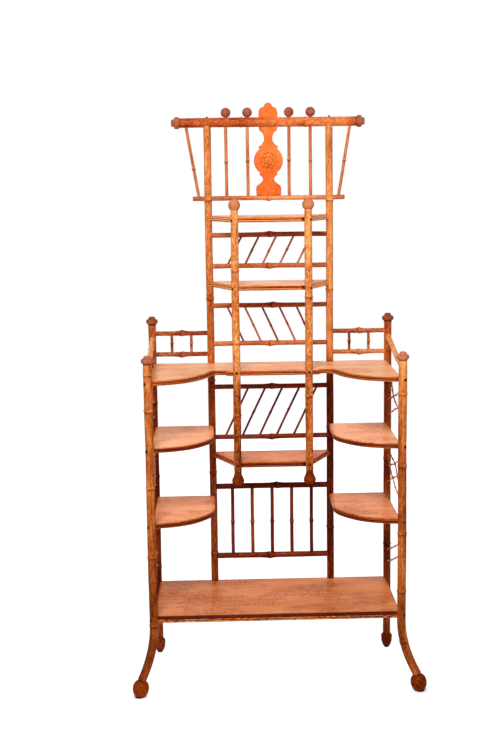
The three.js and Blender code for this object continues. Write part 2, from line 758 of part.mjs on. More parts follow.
// Ogee front of the main shelf's wings, from the recess out to the front post:
// shares of its run in X and of its run in depth
const ogeeShares = [
  [0, 0], [0.03, 0.02], [0.065, 0.1], [0.125, 0.29], [0.2, 0.45], [0.31, 0.62], [0.45, 0.775],
  [0.62, 0.89], [0.8, 0.965], [1, 1],
];
const mainFrontHalf = [[centreFrontHalf, -centreFrontDepth], [centreFrontHalf, -recessDepth]];
for (const [xShare, depthShare] of ogeeShares) {
  mainFrontHalf.push([recessEndX + xShare * (shelfX - recessEndX),
    -recessDepth + depthShare * (shelfFront + recessDepth)]);
}
const mirrored = (points) => points.map(([x, y]) => [-x, y]).reverse();
const mainFront = [...mirrored(mainFrontHalf), ...mainFrontHalf];

function shelf(name, outline, front, top, thickness, notchedBy, edges) {
  const underside = top - thickness;
  let body = board(outline, underside, thickness);
  for (const path of edges) body = body.add(edging(path, underside + edgingFoot, edgingWidth, edgingRise, edgingBed));
  for (const post of notchedBy) body = body.subtract(posts[post].envelope);
  keep(name, body, at(front[0], front[1], underside), 'shelf', 'shelves');
}

const allPosts = Object.keys(posts);
shelf('main_shelf', [...mainFront, [shelfX, mainShelfBack], [-shelfX, mainShelfBack]],
  [0, 0], mainShelfTop, shelfThickness, allPosts, [mainFront]);

// Quarter-round wing shelves: shares of the run in X and in depth from the tip
const quarterShares = [
  [0, 0], [0.015, 0.12], [0.06, 0.27], [0.14, 0.43], [0.25, 0.6], [0.39, 0.76], [0.56, 0.875],
  [0.77, 0.96], [1, 1],
];
const wingTipInset = 10;
for (const [side, s] of sides) {
  const front = quarterShares.map(([xShare, depthShare]) => [
    s * (wingShelfInnerX + xShare * (shelfX - wingShelfInnerX)),
    -wingTipDepth + depthShare * (shelfFront + wingTipDepth),
  ]);
  const path = s > 0 ? front : [...front].reverse();
  const back = [[s * shelfX, wingShelfBack], [s * (wingShelfInnerX + wingTipInset), wingShelfBack],
    [s * wingShelfInnerX, wingShelfBack - wingTipInset]];
  const outline = [...front, ...back];
  const notchedBy = [`front_post_${side}`, `back_post_${side}`, `centre_post_${side}`];
  for (const [level, top] of [['middle', middleShelfTop], ['lower', lowerShelfTop]]) {
    shelf(`${level}_wing_shelf_${side}`, outline, [s * shelfX, 0], top, shelfThickness, notchedBy, [path]);
  }
}

// Bay shelves between the centre posts and the hanging posts
const bayFrontX = hangingPostX + bayShelfReach;
const bayFront = -hangingPostDepth;
const bayPath = [[-centrePostX, 0], [-bayFrontX, bayFront], [bayFrontX, bayFront], [centrePostX, 0]];
const bayOutline = [...bayPath, [centrePostX, bayShelfBack], [-centrePostX, bayShelfBack]];
const bayPosts = ['centre_post_left', 'centre_post_right', 'hanging_post_left', 'hanging_post_right'];
for (const [level, top] of [['upper', upperBayShelfTop], ['middle', middleBayShelfTop], ['lower', lowerBayShelfTop]]) {
  shelf(`${level}_bay_shelf`, bayOutline, [0, 0], top, shelfThickness, bayPosts, [bayPath]);
}

// Bottom shelf, bored for the centre posts' dowels, with its edging laid on separately
const bottomFront = -frontPostDepth;
const bottomPath = [[-shelfX, bottomFront], [shelfX, bottomFront]];
const bottomOutline = [...bottomPath, [shelfX, bottomShelfBack], [-shelfX, bottomShelfBack]];
shelf('bottom_shelf', bottomOutline, [0, 0], bottomShelfTop, bottomShelfThickness,
  ['front_post_left', 'front_post_right', 'back_post_left', 'back_post_right'], []);
let bottomEdging = edging(bottomPath.map(([x, y]) => [x, y - fit]),
  bottomShelfTop - bottomShelfThickness + edgingFoot, bottomEdgingWidth, bottomEdgingRise, 0);
for (const side of ['left', 'right']) {
  bottomEdging = bottomEdging.subtract(posts[`front_post_${side}`].envelope);
  cut('bottom_shelf', pin(postDowelRadius + fit, at(posts[`centre_post_${side}`].x, 0, bottomShelfTop),
    up.clone().negate(), -overrun, postDowelDepth + fit, spindleSides));
}
keep('bottom_shelf_edging', bottomEdging, at(0, bottomFront, bottomShelfTop), 'edging', 'shelves');

// Side arms: a ringed culm sagging from the outer back post down to the front post
const armSteps = 8;
const armRingShares = [0.3, 0.72];
for (const [side, s] of sides) {
  const back = posts[`back_post_${side}`];
  const front = posts[`front_post_${side}`];
  const start = at(back.x, back.y, armBackHeight);
  const end = at(front.x, front.y, armFrontHeight);
  const length = start.distanceTo(end);
  const control = start.clone().add(end).multiplyScalar(0.5).addScaledVector(up, -armSag);
  const curve = new THREE.QuadraticBezierCurve3(start, control, end);
  const profile = culmProfile(armRadius, length, armRingShares.map((share) => share * length), railRing);
  for (let i = 1; i < armSteps; i += 1) {
    const place = length * i / armSteps;
    if (armRingShares.every((share) => Math.abs(share * length - place) > railRing.width)) {
      profile.splice(-1, 0, [armRadius, place]);
    }
  }
  const rim = profile.slice(1, -1).sort((a, b) => a[1] - b[1]);
  const axis = (distance) => ({
    place: curve.getPoint(distance / length),
    heading: curve.getTangent(distance / length),
  });
  let arm = bend(turnedGeometry([profile[0], ...rim, profile[profile.length - 1]], railSides), axis)
    .subtract(back.envelope).subtract(front.envelope);
  for (const [post, share, turn] of [[back, 0, 1], [front, 1, -1]]) {
    const heading = curve.getTangent(share).multiplyScalar(turn);
    const point = curve.getPoint(share);
    const tip = post.radius - railDowelDepth;
    arm = arm.add(pin(railDowelRadius, point, heading, tip, post.radius + dowelSeat, spindleSides));
    cut(post.name, pin(railDowelRadius + fit, point, heading, tip - fit, post.radius + overrun, spindleSides));
  }
  keep(`side_arm_${side}`, arm, start, 'culm', 'sides');
}

// Cane lattice in each side: every rod runs from the back post to the front one, each end
// given as a share of the clear height between the shelf below and the shelf above
const upperRodShares = [[0.4, 0.87], [0.13, 0.62], [1.04, 0.32]];
const middleRodShares = [[0.61, 0.17], [0.78, 0.29], [0.4, 0.86], [0.16, 0.63]];
const lowerFrontRodShares = [[0.34, 0.8]];
const lowerBackRodShares = [[0.19, 0.66]];
const lattice = [
  ['upper', middleShelfTop, mainShelfTop - shelfThickness, upperRodShares],
  ['middle', lowerShelfTop, middleShelfTop - shelfThickness, middleRodShares],
  ['lower_front', bottomShelfTop, lowerShelfTop - shelfThickness, lowerFrontRodShares],
  ['lower_back', bottomShelfTop, lowerShelfTop - shelfThickness, lowerBackRodShares],
];
const caneRingShares = [0.45];
for (const [side, s] of sides) {
  const back = posts[`back_post_${side}`];
  const front = posts[`front_post_${side}`];
  for (const [label, low, high, rodShares] of lattice) {
    const rods = rodShares.map(([backShare, frontShare]) => culmBetween(
      at(back.x, back.y, low + backShare * (high - low)),
      at(front.x, front.y, low + frontShare * (high - low)),
      caneRadius, caneRingShares, caneRing, caneSides));
    const body = rods.reduce((whole, rod) => whole.add(rod))
      .subtract(back.envelope).subtract(front.envelope);
    keep(`side_lattice_${label}_${side}`, body, at(s * sidePostX, 0, low), 'cane', 'sides');
  }
}

// Scene graph: one group for each family of pieces
const families = new Map();
for (const [name, { solid, anchor, finish, family }] of pieces) {
  if (!families.has(family)) {
    families.set(family, new THREE.Group());
    assembly.add(families.get(family));
  }
  const geometry = geometryOf(solid).translate(-anchor.x, -anchor.y, -anchor.z);
  const mesh = new THREE.Mesh(geometry, new THREE.MeshStandardMaterial(finishes[finish]));
  mesh.name = name;
  mesh.position.copy(anchor);
  families.get(family).add(mesh);
}

// The origin lies on the floor under the middle of the whole piece
const bounds = new THREE.Box3().setFromObject(assembly);
const middle = bounds.getCenter(new THREE.Vector3());
assembly.position.set(-middle.x, -middle.y, -bounds.min.z);

export default group;
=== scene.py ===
"""Bamboo etagere: ringed culms, turned ends, varnished shelves and cane lattice over its solids."""

import math
from typing import NamedTuple

import bpy
import numpy as np
from bpy.props import FloatProperty, FloatVectorProperty, IntProperty, PointerProperty
from mathutils import Matrix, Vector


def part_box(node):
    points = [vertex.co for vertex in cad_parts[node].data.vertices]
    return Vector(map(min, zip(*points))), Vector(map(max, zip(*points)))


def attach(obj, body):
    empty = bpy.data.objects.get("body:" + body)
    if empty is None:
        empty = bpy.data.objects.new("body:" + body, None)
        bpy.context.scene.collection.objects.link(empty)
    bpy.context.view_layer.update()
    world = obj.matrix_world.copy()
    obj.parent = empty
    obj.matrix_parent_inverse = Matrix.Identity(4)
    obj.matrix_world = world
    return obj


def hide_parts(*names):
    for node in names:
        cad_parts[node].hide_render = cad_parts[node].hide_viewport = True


bl_info = {
    "name": "Bamboo etagere",
    "version": (1, 0, 0),
    "blender": (4, 5, 0),
    "location": "View3D > Sidebar > Etagere",
    "description": "Builds the culms, turned ends, shelves and lattice of a bamboo etagere",
    "category": "Object",
}

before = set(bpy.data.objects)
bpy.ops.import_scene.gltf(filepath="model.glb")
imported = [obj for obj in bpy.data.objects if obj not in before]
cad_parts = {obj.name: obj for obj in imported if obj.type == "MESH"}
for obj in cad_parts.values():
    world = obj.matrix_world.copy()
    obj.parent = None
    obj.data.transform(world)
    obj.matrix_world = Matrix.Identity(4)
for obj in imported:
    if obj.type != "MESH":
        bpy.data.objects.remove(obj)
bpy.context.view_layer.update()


def middle(node):
    """Centre of a solid's box."""
    low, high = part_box(node)
    return (np.array(low) + np.array(high)) / 2


def lowest(node):
    return float(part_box(node)[0][2])


def highest(node):
    return float(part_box(node)[1][2])


# Plan of the posts and levels of the shelves, taken from the solids
SIDE_X, BACK_Y = (float(place) for place in middle("back_post_cap_right")[:2])
FRONT_DEPTH = BACK_Y - float(middle("front_post_cap_right")[1])
CENTRE_X = float(middle("centre_post_right")[0])
HANGING_X = float(middle("ball_finial_right")[0])
HANGING_DEPTH = BACK_Y - float(middle("ball_finial_right")[1])
SHELF_TOPS = {name: highest(name) for name in (
    "bottom_shelf", "main_shelf", "lower_bay_shelf", "middle_bay_shelf", "upper_bay_shelf",
    "lower_wing_shelf_left", "middle_wing_shelf_left", "lower_wing_shelf_right",
    "middle_wing_shelf_right")}
SHELF_FEET = {name: lowest(name) for name in SHELF_TOPS}
BACK_TOP = lowest("back_post_cap_left")
FRONT_TOP = lowest("front_post_cap_left")
HANGING_TOP = lowest("ball_finial_left")
HANGING_FOOT = highest("drop_finial_left")
BACK_FOOT = highest("back_foot_left")
CREST_HEIGHT = float(middle("crest_end_cap_left")[2])
LOWER_CREST_HEIGHT = 1.4205  # axis of the light rail, whose solid also holds the struts
SIDES = (("left", -1), ("right", 1))
RIGHT, FRONT, UP = np.array([[1.0, 0.0, 0.0], [0.0, -1.0, 0.0], [0.0, 0.0, 1.0]])


def at(x, depth, height):
    """Point by its distance right of the middle, in front of the back posts and above the floor."""
    return np.array([x, BACK_Y - depth, height])


# Shapes

FAR = 0.05  # distance to a ring joint where none is near
CREASE = math.radians(50)  # faces that meet at more than this keep a sharp edge
END_STEP = 0.0008  # length of the eased end of a culm
END_EASE = 0.0007  # how much its radius gives way there
BED = 0.0006  # how far a strip is let into its board
ROUND = 60.0  # a turned profile that turns by more than this many degrees keeps its corner
SWELLS = ((0.009, 0.034), (0.006, 0.0131))  # slow waves of a culm: share of the radius, length
# Bell, ridge and scar of a ring joint: height as a share of its rise, then place and half width
# as shares of its width
JOINT = ((0.55, 0.0, 0.42), (0.62, 0.06, 0.12), (-0.42, -0.24, 0.09))


class Skin:
    """Closed grids of points gathered into one mesh, with the marks that its finish reads."""

    def __init__(self):
        self.points = []
        self.faces = []
        self.marks = {"grain": [], "ring": [], "tone": [], "rim": []}
        self.count = 0

    def grid(self, points, grain, ring=FAR, tone=0.5, rim=0.0):
        """Adds rows of points, each row a loop round the form; first and last rows are closed."""
        rows, columns = points.shape[:2]
        index = self.count + np.arange(rows * columns).reshape(rows, columns)
        after = np.roll(index, -1, axis=1)
        quads = np.stack([index[:-1], after[:-1], after[1:], index[1:]], axis=-1).reshape(-1, 4)
        self.faces += quads.tolist()
        self.faces += [index[0, ::-1].tolist(), index[-1].tolist()]
        self.points.append(points.reshape(-1, 3))
        self.marks["grain"].append(np.broadcast_to(grain, points.shape).reshape(-1, 3))
        for name, value in (("ring", ring), ("tone", tone), ("rim", rim)):
            self.marks[name].append(np.broadcast_to(value, (rows, columns)).reshape(-1))
        self.count += rows * columns
        return self

    def piece(self, name, wood, *nodes):
        """Makes the object in a named finish, rides it on the body and lets it stand for nodes."""
        slot, material = finish(wood)
        mesh = bpy.data.meshes.new(name)
        mesh.from_pydata(np.concatenate(self.points).tolist(), [], self.faces)
        for label, values in self.marks.items():
            kind, field = ("FLOAT_VECTOR", "vector") if label == "grain" else ("FLOAT", "value")
            data = mesh.attributes.new(label, kind, "POINT").data
            data.foreach_set(field, np.concatenate(values).ravel())
        mesh.polygons.foreach_set("use_smooth", np.ones(len(mesh.polygons), dtype=bool))
        mesh.set_sharp_from_angle(angle=CREASE)
        mesh.materials.append(material)
        mesh.update()
        piece = bpy.data.objects.new(name, mesh)
        bpy.context.scene.collection.objects.link(piece)
        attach(piece, "root")
        if nodes:
            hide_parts(*nodes)


def unit(vectors):
    """Vectors divided by their lengths."""
    vectors = np.asarray(vectors, dtype=float)
    return vectors / np.linalg.norm(vectors, axis=-1, keepdims=True)


def bent(points):
    """Path through points: the distance along it at each, and the points."""
    steps = np.linalg.norm(np.diff(points, axis=0), axis=1)
    return np.concatenate([[0.0], np.cumsum(steps)]), points


def back_line(x, height, other_x, other_height):
    """Straight path in the plane of the back posts."""
    return bent(np.array([at(x, 0, height), at(other_x, 0, other_height)]))


def on(path, distance):
    """Points at distances along a path, each coordinate interpolated."""
    return np.stack([np.interp(distance, path[0], path[1][:, k]) for k in range(3)], axis=-1)


def turns(count):
    """Angles of a number of even steps round a circle."""
    return np.arange(count) * 2 * math.pi / count


def graded(axis, pairs):
    """Tone that follows one coordinate, between pairs of place and tone."""
    return lambda points: np.interp(points[..., axis], *zip(*pairs))


def spots(length, rings, width, step):
    """Distances along a culm: even steps, and close ones across every ring joint."""
    even = np.linspace(0.0, length, max(3, round(length / step) + 1))
    even = even[np.abs(even[:, None] - rings).min(axis=1) > 1.25 * width]
    shares = np.array([-1.2, -0.8, -0.55, -0.38, -0.26, -0.16, -0.08, 0.0])
    near = (rings[:, None] + width * np.concatenate([shares, -shares[-2::-1]])).ravel()
    end = min(END_STEP, length / 9)
    every = np.concatenate([[0.0, end, length - end, length], even,
                            near[(near > 0) & (near < length)]])
    return np.unique(every.clip(0, length))


def culm(skin, path, radius, shares, rise, width, sides, tone, seed, side=FRONT, bud=None,
         wander=0.0004, step=0.012):
    """Carries a circle along the path. Its radius is the culm's, with slow waves one and a half
    hundredths deep and a faint oval, and at each ring joint, at a share of the length, a bell, a
    fine ridge above its middle and a scar groove below it. The bud is a bell round one direction
    at the joint. The axis wanders by two sines of the distance."""
    rng = np.random.default_rng(seed)
    phase = rng.uniform(0, 2 * math.pi, 8)
    length = path[0][-1]
    rings = np.array(shares) * length
    s = spots(length, rings, width, step)
    angle = turns(sides)
    tangent = unit(on(path, np.minimum(s + 0.001, length)) - on(path, np.maximum(s - 0.001, 0)))
    across = unit(side - (tangent @ side)[:, None] * tangent)
    third = np.cross(tangent, across)
    ease = np.clip(np.minimum(s, length - s) / 0.05, 0, 1)[:, None]
    centre = on(path, s) + ease * wander * (np.sin(s[:, None] / 0.071 + phase[0]) * across
                                            + np.sin(s[:, None] / 0.093 + phase[1]) * third)
    waves = (share * np.sin(s / reach + start) for (share, reach), start in zip(SWELLS, phase[2:]))
    r = radius * sum(waves, 1.0)[:, None]
    r = r * (1 + 0.010 * np.sin(2 * angle + phase[4] + s[:, None] / 0.3))
    nearest = np.full((len(s), sides), FAR)
    for number, ring in enumerate(rings):
        tilt = 0.05 * width * np.sin(angle + phase[5] + 1.7 * number)
        gap = s[:, None] - ring - tilt
        r = r + rise * sum(height * np.exp(-((gap - place * width) / (half * width)) ** 2)
                           for height, place, half in JOINT)
        if bud is not None:
            turn = np.angle(np.exp(1j * (angle - bud[number % len(bud)])))
            bell = np.exp(-(gap / (0.5 * width)) ** 2) * np.exp(-(turn / 0.55) ** 2)
            r = r + 1.15 * rise * bell
        nearest = np.where(np.abs(gap) < np.abs(nearest), gap, nearest)
    r[[0, -1]] -= END_EASE
    spoke = np.cos(angle)[:, None] * across[:, None] + np.sin(angle)[:, None] * third[:, None]
    points = centre[:, None] + r[..., None] * spoke
    grain = np.stack([r * np.cos(angle), r * np.sin(angle),
                      np.broadcast_to(s[:, None], r.shape)], axis=-1) + rng.uniform(-3, 3, 3)
    return skin.grid(points, grain, nearest, tone(points) if callable(tone) else tone)


def flowing(points, steps, corner):
    """Hermite curve through the points of an outline. A point where the outline turns by more than
    the corner angle stays sharp: each side leaves it along its own chord."""
    chords = np.diff(points, axis=0)
    heading = unit(chords)
    turn = np.degrees(np.arccos(np.clip((heading[:-1] * heading[1:]).sum(axis=1), -1, 1)))
    sharp = np.concatenate([[True], turn > corner, [True]])[:, None]
    lengths = np.linalg.norm(chords, axis=1, keepdims=True)
    mean = unit(heading[:-1] * lengths[1:] + heading[1:] * lengths[:-1])
    mean = np.concatenate([heading[:1], mean, heading[-1:]])
    leave = np.where(sharp[:-1], heading, mean[:-1]) * lengths
    reach = np.where(sharp[1:], heading, mean[1:]) * lengths
    t = np.arange(steps)[:, None, None] / steps
    curve = ((2 * t ** 3 - 3 * t ** 2 + 1) * points[:-1] + (t ** 3 - 2 * t ** 2 + t) * leave
             + (3 * t ** 2 - 2 * t ** 3) * points[1:] + (t ** 3 - t ** 2) * reach)
    return np.concatenate([curve.swapaxes(0, 1).reshape(-1, points.shape[1]), points[-1:]])


def turned(skin, profile, seat, axis, tone, seed, sides=40, steps=4, sole_shade=0.0, neck=0.0):
    """Turns a profile of radius and height about an axis from its seat, eased between its points by
    Hermite curves. The sole is painted shade that the last eighth of the height adds to the tone,
    where a foot meets the floor; the neck is painted shade that its first sixth adds, under a cap."""
    outline = flowing(np.array(profile, dtype=float), steps, ROUND)
    outline[:, 0] = np.maximum(outline[:, 0], 0.0003)
    share = outline[:, 1:] / outline[-1, 1]
    axis = unit(axis)
    across = unit(np.cross(axis, [0.31, 0.87, 0.17]))
    third = np.cross(axis, across)
    angle = turns(sides)
    spoke = np.cos(angle)[:, None] * across + np.sin(angle)[:, None] * third
    points = seat + outline[:, 1, None, None] * axis + outline[:, 0, None, None] * spoke
    grain = np.stack([outline[:, :1] * np.cos(angle), outline[:, :1] * np.sin(angle),
                      np.broadcast_to(outline[:, 1:], (len(outline), sides))], axis=-1)
    grain = grain + np.random.default_rng(seed).uniform(-2, 2, 3)
    return skin.grid(points, grain, tone=tone + sole_shade * (share > 0.87) + neck * (share < 0.17))


def ball(radius, neck, rows):
    """Profile of a ball cut off where its radius is the neck's: a sine and a cosine."""
    angle = np.linspace(math.asin(neck / radius), math.pi, rows)
    return radius * np.stack([np.sin(angle), math.cos(angle[0]) - np.cos(angle)], axis=1)


def outward(outline):
    """Mitred normals of a closed outline that runs counter-clockwise: the mean of the two sides'
    normals, lengthened so that an inset keeps its width at the corners."""
    forward = unit(np.roll(outline, -1, axis=0) - outline)
    normal = np.stack([forward[:, 1], -forward[:, 0]], axis=1)
    mean = unit(normal + np.roll(normal, 1, axis=0))
    return mean / np.maximum((mean * normal).sum(axis=1), 0.5)[:, None]


def board(skin, outline, underside, top, tone, seed, arris=0.0012, band=0.007, place=None,
          edge=1.0):
    """A flat board: the outline carried up its edge through a quarter round at both arrises, then
    inset by a narrow band that the edge's darkening fades across. On a shelf that darkening is
    wear, and on the edge itself also painted shade above the strips."""
    angle = np.radians([0, 30, 60, 90])
    inset = arris * (1 - np.sin(angle))
    rise = arris * (1 - np.cos(angle))
    thick = top - underside
    insets = np.concatenate([[arris + 0.0008], inset, inset[::-1], [arris + 0.0008, band]])
    heights = underside + np.concatenate([[0.0], rise, thick - rise[::-1], [thick, thick]])
    rim = np.array([0.6, *[edge] * 7, 0.9, 0.5, 0.0])
    flat = outline[None] - insets[:, None, None] * outward(outline)
    level = np.broadcast_to(heights[:, None, None], (*flat.shape[:2], 1))
    points = np.concatenate([flat, level], axis=2)
    grain = points + np.random.default_rng(seed).uniform(-3, 3, 3)
    return skin.grid(place(points) if place else points, grain, tone=tone, rim=rim[:, None])


def strip(skin, path, foot, width, rise, tone, seed):
    """Half-round strip laid along a path in plan: a half ellipse carried along it with mitred
    corners, its swell waved by two sines of the distance. Rim is one along both long edges and
    nought on the crown: painted shade that the finish lays in the grooves at its edges, more on the
    lower half."""
    forward = unit(np.diff(path, axis=0))
    after = np.concatenate([forward, forward[-1:]])
    heading = unit(np.concatenate([forward[:1], forward]) + after)
    normal = np.stack([heading[:, 1], -heading[:, 0]], axis=1)
    normal = normal / (heading * after).sum(axis=1)[:, None]
    angle = np.linspace(math.pi / 2, -math.pi / 2, 7)
    out = np.concatenate([rise * np.cos(angle) ** 0.8, [-BED, -BED]])
    height = np.concatenate([width / 2 * (1 + np.sin(angle)), [0.0004, width - 0.0004]])
    s = bent(path)[0]
    rng = np.random.default_rng(seed)
    wave = (1 + 0.05 * np.sin(s / 0.021 + rng.uniform(0, 6))
            + 0.03 * np.sin(s / 0.0083 + rng.uniform(0, 6)))
    scale = np.where(out > 0, wave[:, None] * out, out)
    flat = path[:, None] + scale[..., None] * normal[:, None]
    level = np.broadcast_to((foot + height)[None, :, None], (*flat.shape[:2], 1))
    grain = np.stack(np.broadcast_arrays(scale, height, s[:, None]), axis=-1)
    grain = grain + rng.uniform(-3, 3, 3)
    lift = np.abs(np.sin(angle))
    rim = np.concatenate([np.where(angle > 0, lift ** 3, lift ** 0.9), [1, 1]])
    skin.grid(np.concatenate([flat, level], axis=2), grain, tone=tone, rim=rim)


# Finishes

WHITE = (1.0, 1.0, 1.0, 1.0)


def linear(red, green, blue):
    """Linear colour of screen levels from 0 to 255."""
    level = np.array([red, green, blue]) / 255
    curve = np.where(level <= 0.04045, level / 12.92, ((level + 0.055) / 1.055) ** 2.4)
    return (*curve.tolist(), 1.0)


def maths(operation, turned_round=False):
    """Method that adds a Math node of a socket and other values, or of these in the other order."""
    def method(self, *others):
        values = (*others, self) if turned_round else (self, *others)
        return self.nodes.add("ShaderNodeMath", {"operation": operation}, dict(enumerate(values)))
    return method


class Wire:
    """A socket of a node tree, on which plain arithmetic adds Math nodes."""

    def __init__(self, nodes, socket):
        self.nodes = nodes
        self.socket = socket

    __add__ = __radd__ = maths("ADD")
    __sub__ = maths("SUBTRACT")
    __rsub__ = maths("SUBTRACT", turned_round=True)
    __mul__ = __rmul__ = maths("MULTIPLY")
    __pow__ = maths("POWER")
    __abs__ = maths("ABSOLUTE")
    most = maths("MAXIMUM")
    least = maths("MINIMUM")
    sine = maths("SINE")
    cosine = maths("COSINE")
    bearing = maths("ARCTAN2")  # angle of the point this far up and the other value across

    def rising(self, low, high):
        """Nought below low, one above high, eased between."""
        return self.nodes.add("ShaderNodeMapRange", {"interpolation_type": "SMOOTHSTEP"},
                              {"Value": self, "From Min": low, "From Max": high})

    def falling(self, low, high):
        return 1 - self.rising(low, high)

    def also(self, output):
        """Another output of the same node."""
        return Wire(self.nodes, self.socket.node.outputs[output])


class Nodes:
    """The node tree of a material or of the world."""

    def __init__(self, owner):
        owner.use_nodes = True
        self.owner = owner
        self.tree = owner.node_tree
        self.tree.nodes.clear()

    def add(self, kind, settings=None, sockets=None, output=0):
        """Adds a node: first its settings or a ramp's stops, then the values or links of its
        sockets."""
        node = self.tree.nodes.new(kind)
        for name, value in (settings or {}).items():
            if name == "stops":
                ramp = node.color_ramp
                while len(ramp.elements) < len(value):
                    ramp.elements.new(0.5)
                for element, (place, colour) in zip(ramp.elements, value):
                    element.position = place
                    element.color = colour
            else:
                setattr(node, name, value)
        for name, value in (sockets or {}).items():
            if isinstance(value, Wire):
                self.tree.links.new(value.socket, node.inputs[name])
            else:
                node.inputs[name].default_value = value
        return Wire(self, node.outputs[output]) if len(node.outputs) else node

    def mark(self, name, output="Fac"):
        return self.add("ShaderNodeAttribute", {"attribute_name": name}, output=output)

    def place(self):
        return self.add("ShaderNodeTexCoord", output="Object")

    def stretched(self, vector, scale):
        return self.add("ShaderNodeVectorMath", {"operation": "MULTIPLY"}, {0: vector, 1: scale})

    def noise(self, vector, scale, detail=3.0, roughness=0.55, distortion=0.0):
        """Noise on a vector stretched by three scales, about a half in the mean."""
        return self.add("ShaderNodeTexNoise", {}, {
            "Vector": self.stretched(vector, scale), "Scale": 1.0, "Detail": detail,
            "Roughness": roughness, "Distortion": distortion})

    def ramp(self, value, places, colours):
        """Colour of a darkness, from screen colours at rising places."""
        stops = [(place, linear(*colour)) for place, colour in zip(places, colours)]
        return self.add("ShaderNodeValToRGB", {"stops": stops}, {"Fac": value})

    def mixed(self, share, first, second):
        """One shader that gives way to another."""
        return self.add("ShaderNodeMixShader", {}, {0: share, 1: first, 2: second})

    def plain_ray(self):
        """One for a ray from the camera, off a gloss or through glass, and nought for light."""
        ray = self.add("ShaderNodeLightPath", output="Is Camera Ray")
        return ray.most(ray.also("Is Glossy Ray")).most(ray.also("Is Transmission Ray"))

    def done(self, colour, roughness, height, depth, strength, **uniform):
        """Ends in the Principled shader with a bump."""
        bump = self.add("ShaderNodeBump", {}, {"Height": height, "Distance": depth,
                                               "Strength": strength})
        shader = self.add("ShaderNodeBsdfPrincipled", {}, {
            "Base Color": colour, "Roughness": roughness, "Normal": bump, **uniform})
        self.add("ShaderNodeOutputMaterial", {}, {"Surface": shader})
        return self.owner


def gloss(coat, coat_roughness, specular):
    """Even values of a varnish."""
    return {"Coat Weight": coat, "Coat Roughness": coat_roughness, "Specular IOR Level": specular}


# Screen colours from pale to dark, and the darkness of each
EVEN = (0.0, 0.2, 0.4, 0.6, 0.8, 1.0)
CULM = ((252, 198, 130), (238, 162, 95), (210, 122, 63), (168, 79, 28), (118, 40, 6), (60, 12, 1))
WEATHERED = ((255, 198, 126), (242, 165, 92), (213, 123, 60), (164, 80, 26), (111, 41, 5),
             (54, 12, 0))
CREST = ((255, 180, 118), (243, 148, 82), (208, 104, 50), (156, 62, 20), (104, 26, 4), (50, 8, 1))
RAIL = ((250, 184, 128), (230, 150, 96), (194, 107, 62), (146, 63, 27), (104, 27, 6), (50, 8, 1))
SHELF = ((255, 197, 144), (251, 165, 108), (210, 119, 60), (170, 78, 28), (118, 40, 10),
         (62, 14, 3))
TURNED_PLACES = (0.0, 0.25, 0.45, 0.65, 0.85, 1.0)
TURNED = ((240, 172, 118), (214, 137, 89), (183, 98, 54), (142, 57, 6), (100, 29, 0), (46, 9, 0))
DRY = ((240, 172, 122), (214, 137, 94), (184, 105, 74), (150, 76, 54), (100, 40, 22), (46, 9, 0))
SPLAT_PLACES = (0.0, 0.3, 0.5, 0.7, 1.0)
SPLAT = ((250, 158, 90), (230, 112, 43), (208, 84, 22), (152, 48, 10), (70, 16, 3))
ROSETTE_HEIGHT = 1.5308


def bamboo(name, colours, mottle=0.24, speckle=0.16, fibre=0.16, slow=0.24, scale=1.0, joint=1.0):
    """Scorched and varnished bamboo. One darkness adds the piece's tone, slow clouds, scorch
    mottles, fine flecks, long fibres, the lines of the ring joints and the rim, painted shade
    along the grooved edges of a split strip, and a ramp turns it into colour."""
    f = Nodes(bpy.data.materials.new(name))
    grain = f.mark("grain", "Vector")
    ring = f.mark("ring")

    def noise(across, along, *settings):
        return f.noise(grain, (across * scale, across * scale, along * scale), *settings)

    clouds = noise(22, 7, 2.0)
    blot = noise(150, 85, 3.0, 0.6, 0.8)
    fleck = noise(420, 190, 2.0, 0.5).rising(0.54, 0.70)
    thread = noise(430, 11, 4.0, 0.65)
    ridge = abs(ring - 0.0004).falling(0.0003, 0.0012)
    scar = abs(ring + 0.0019).falling(0.0003, 0.0011)
    soot = abs(ring + 0.0042).falling(0.0008, 0.0055)
    bloom = abs(ring - 0.0040).falling(0.0004, 0.0042)
    dark = (f.mark("tone") + (clouds - 0.5) * (slow * 2) + (blot - 0.5) * (mottle * 4)
            + fleck * speckle + (thread - 0.5) * (fibre * 2)
            + (scar * 0.26 + soot * 0.12 - bloom * 0.05 - ridge * 0.05) * joint
            # the rim is painted shade in the grooves along a split strip's edges
            + f.mark("rim") * 0.75 - speckle * 0.25)
    height = thread * 0.5 - blot * 0.5 - fleck * 0.2 - scar * 0.8 + ridge * 0.3
    return f.done(f.ramp(dark, EVEN, colours), 0.4 + (blot - 0.5) * 0.3, height, 0.00035, 0.5,
                  **gloss(0.02, 0.2, 0.04))


def turned_wood(name, colours):
    """Turned hardwood under old varnish: close grain along the turning's height, fine rings of the
    tool round it and dark stain in patches."""
    f = Nodes(bpy.data.materials.new(name))
    grain = f.mark("grain", "Vector")
    clouds = f.noise(grain, (60, 60, 60), 3.0)
    pores = f.noise(grain, (900, 260, 240), 4.0, 0.6)
    stain = f.noise(grain, (170, 170, 120), 4.0, 0.65).rising(0.5, 0.68)
    rings = f.noise(grain, (8, 8, 560), 3.0, 0.6)
    dark = (f.mark("tone") + (clouds - 0.5) * 0.35 + (pores - 0.5) * 0.42 + stain * 0.2
            + (rings - 0.5) * 0.34)
    return f.done(f.ramp(dark, TURNED_PLACES, colours), 0.48 + stain * 0.12,
                  pores * 0.5 + rings * 0.4, 0.0003, 0.4, **gloss(0.015, 0.3, 0.03))


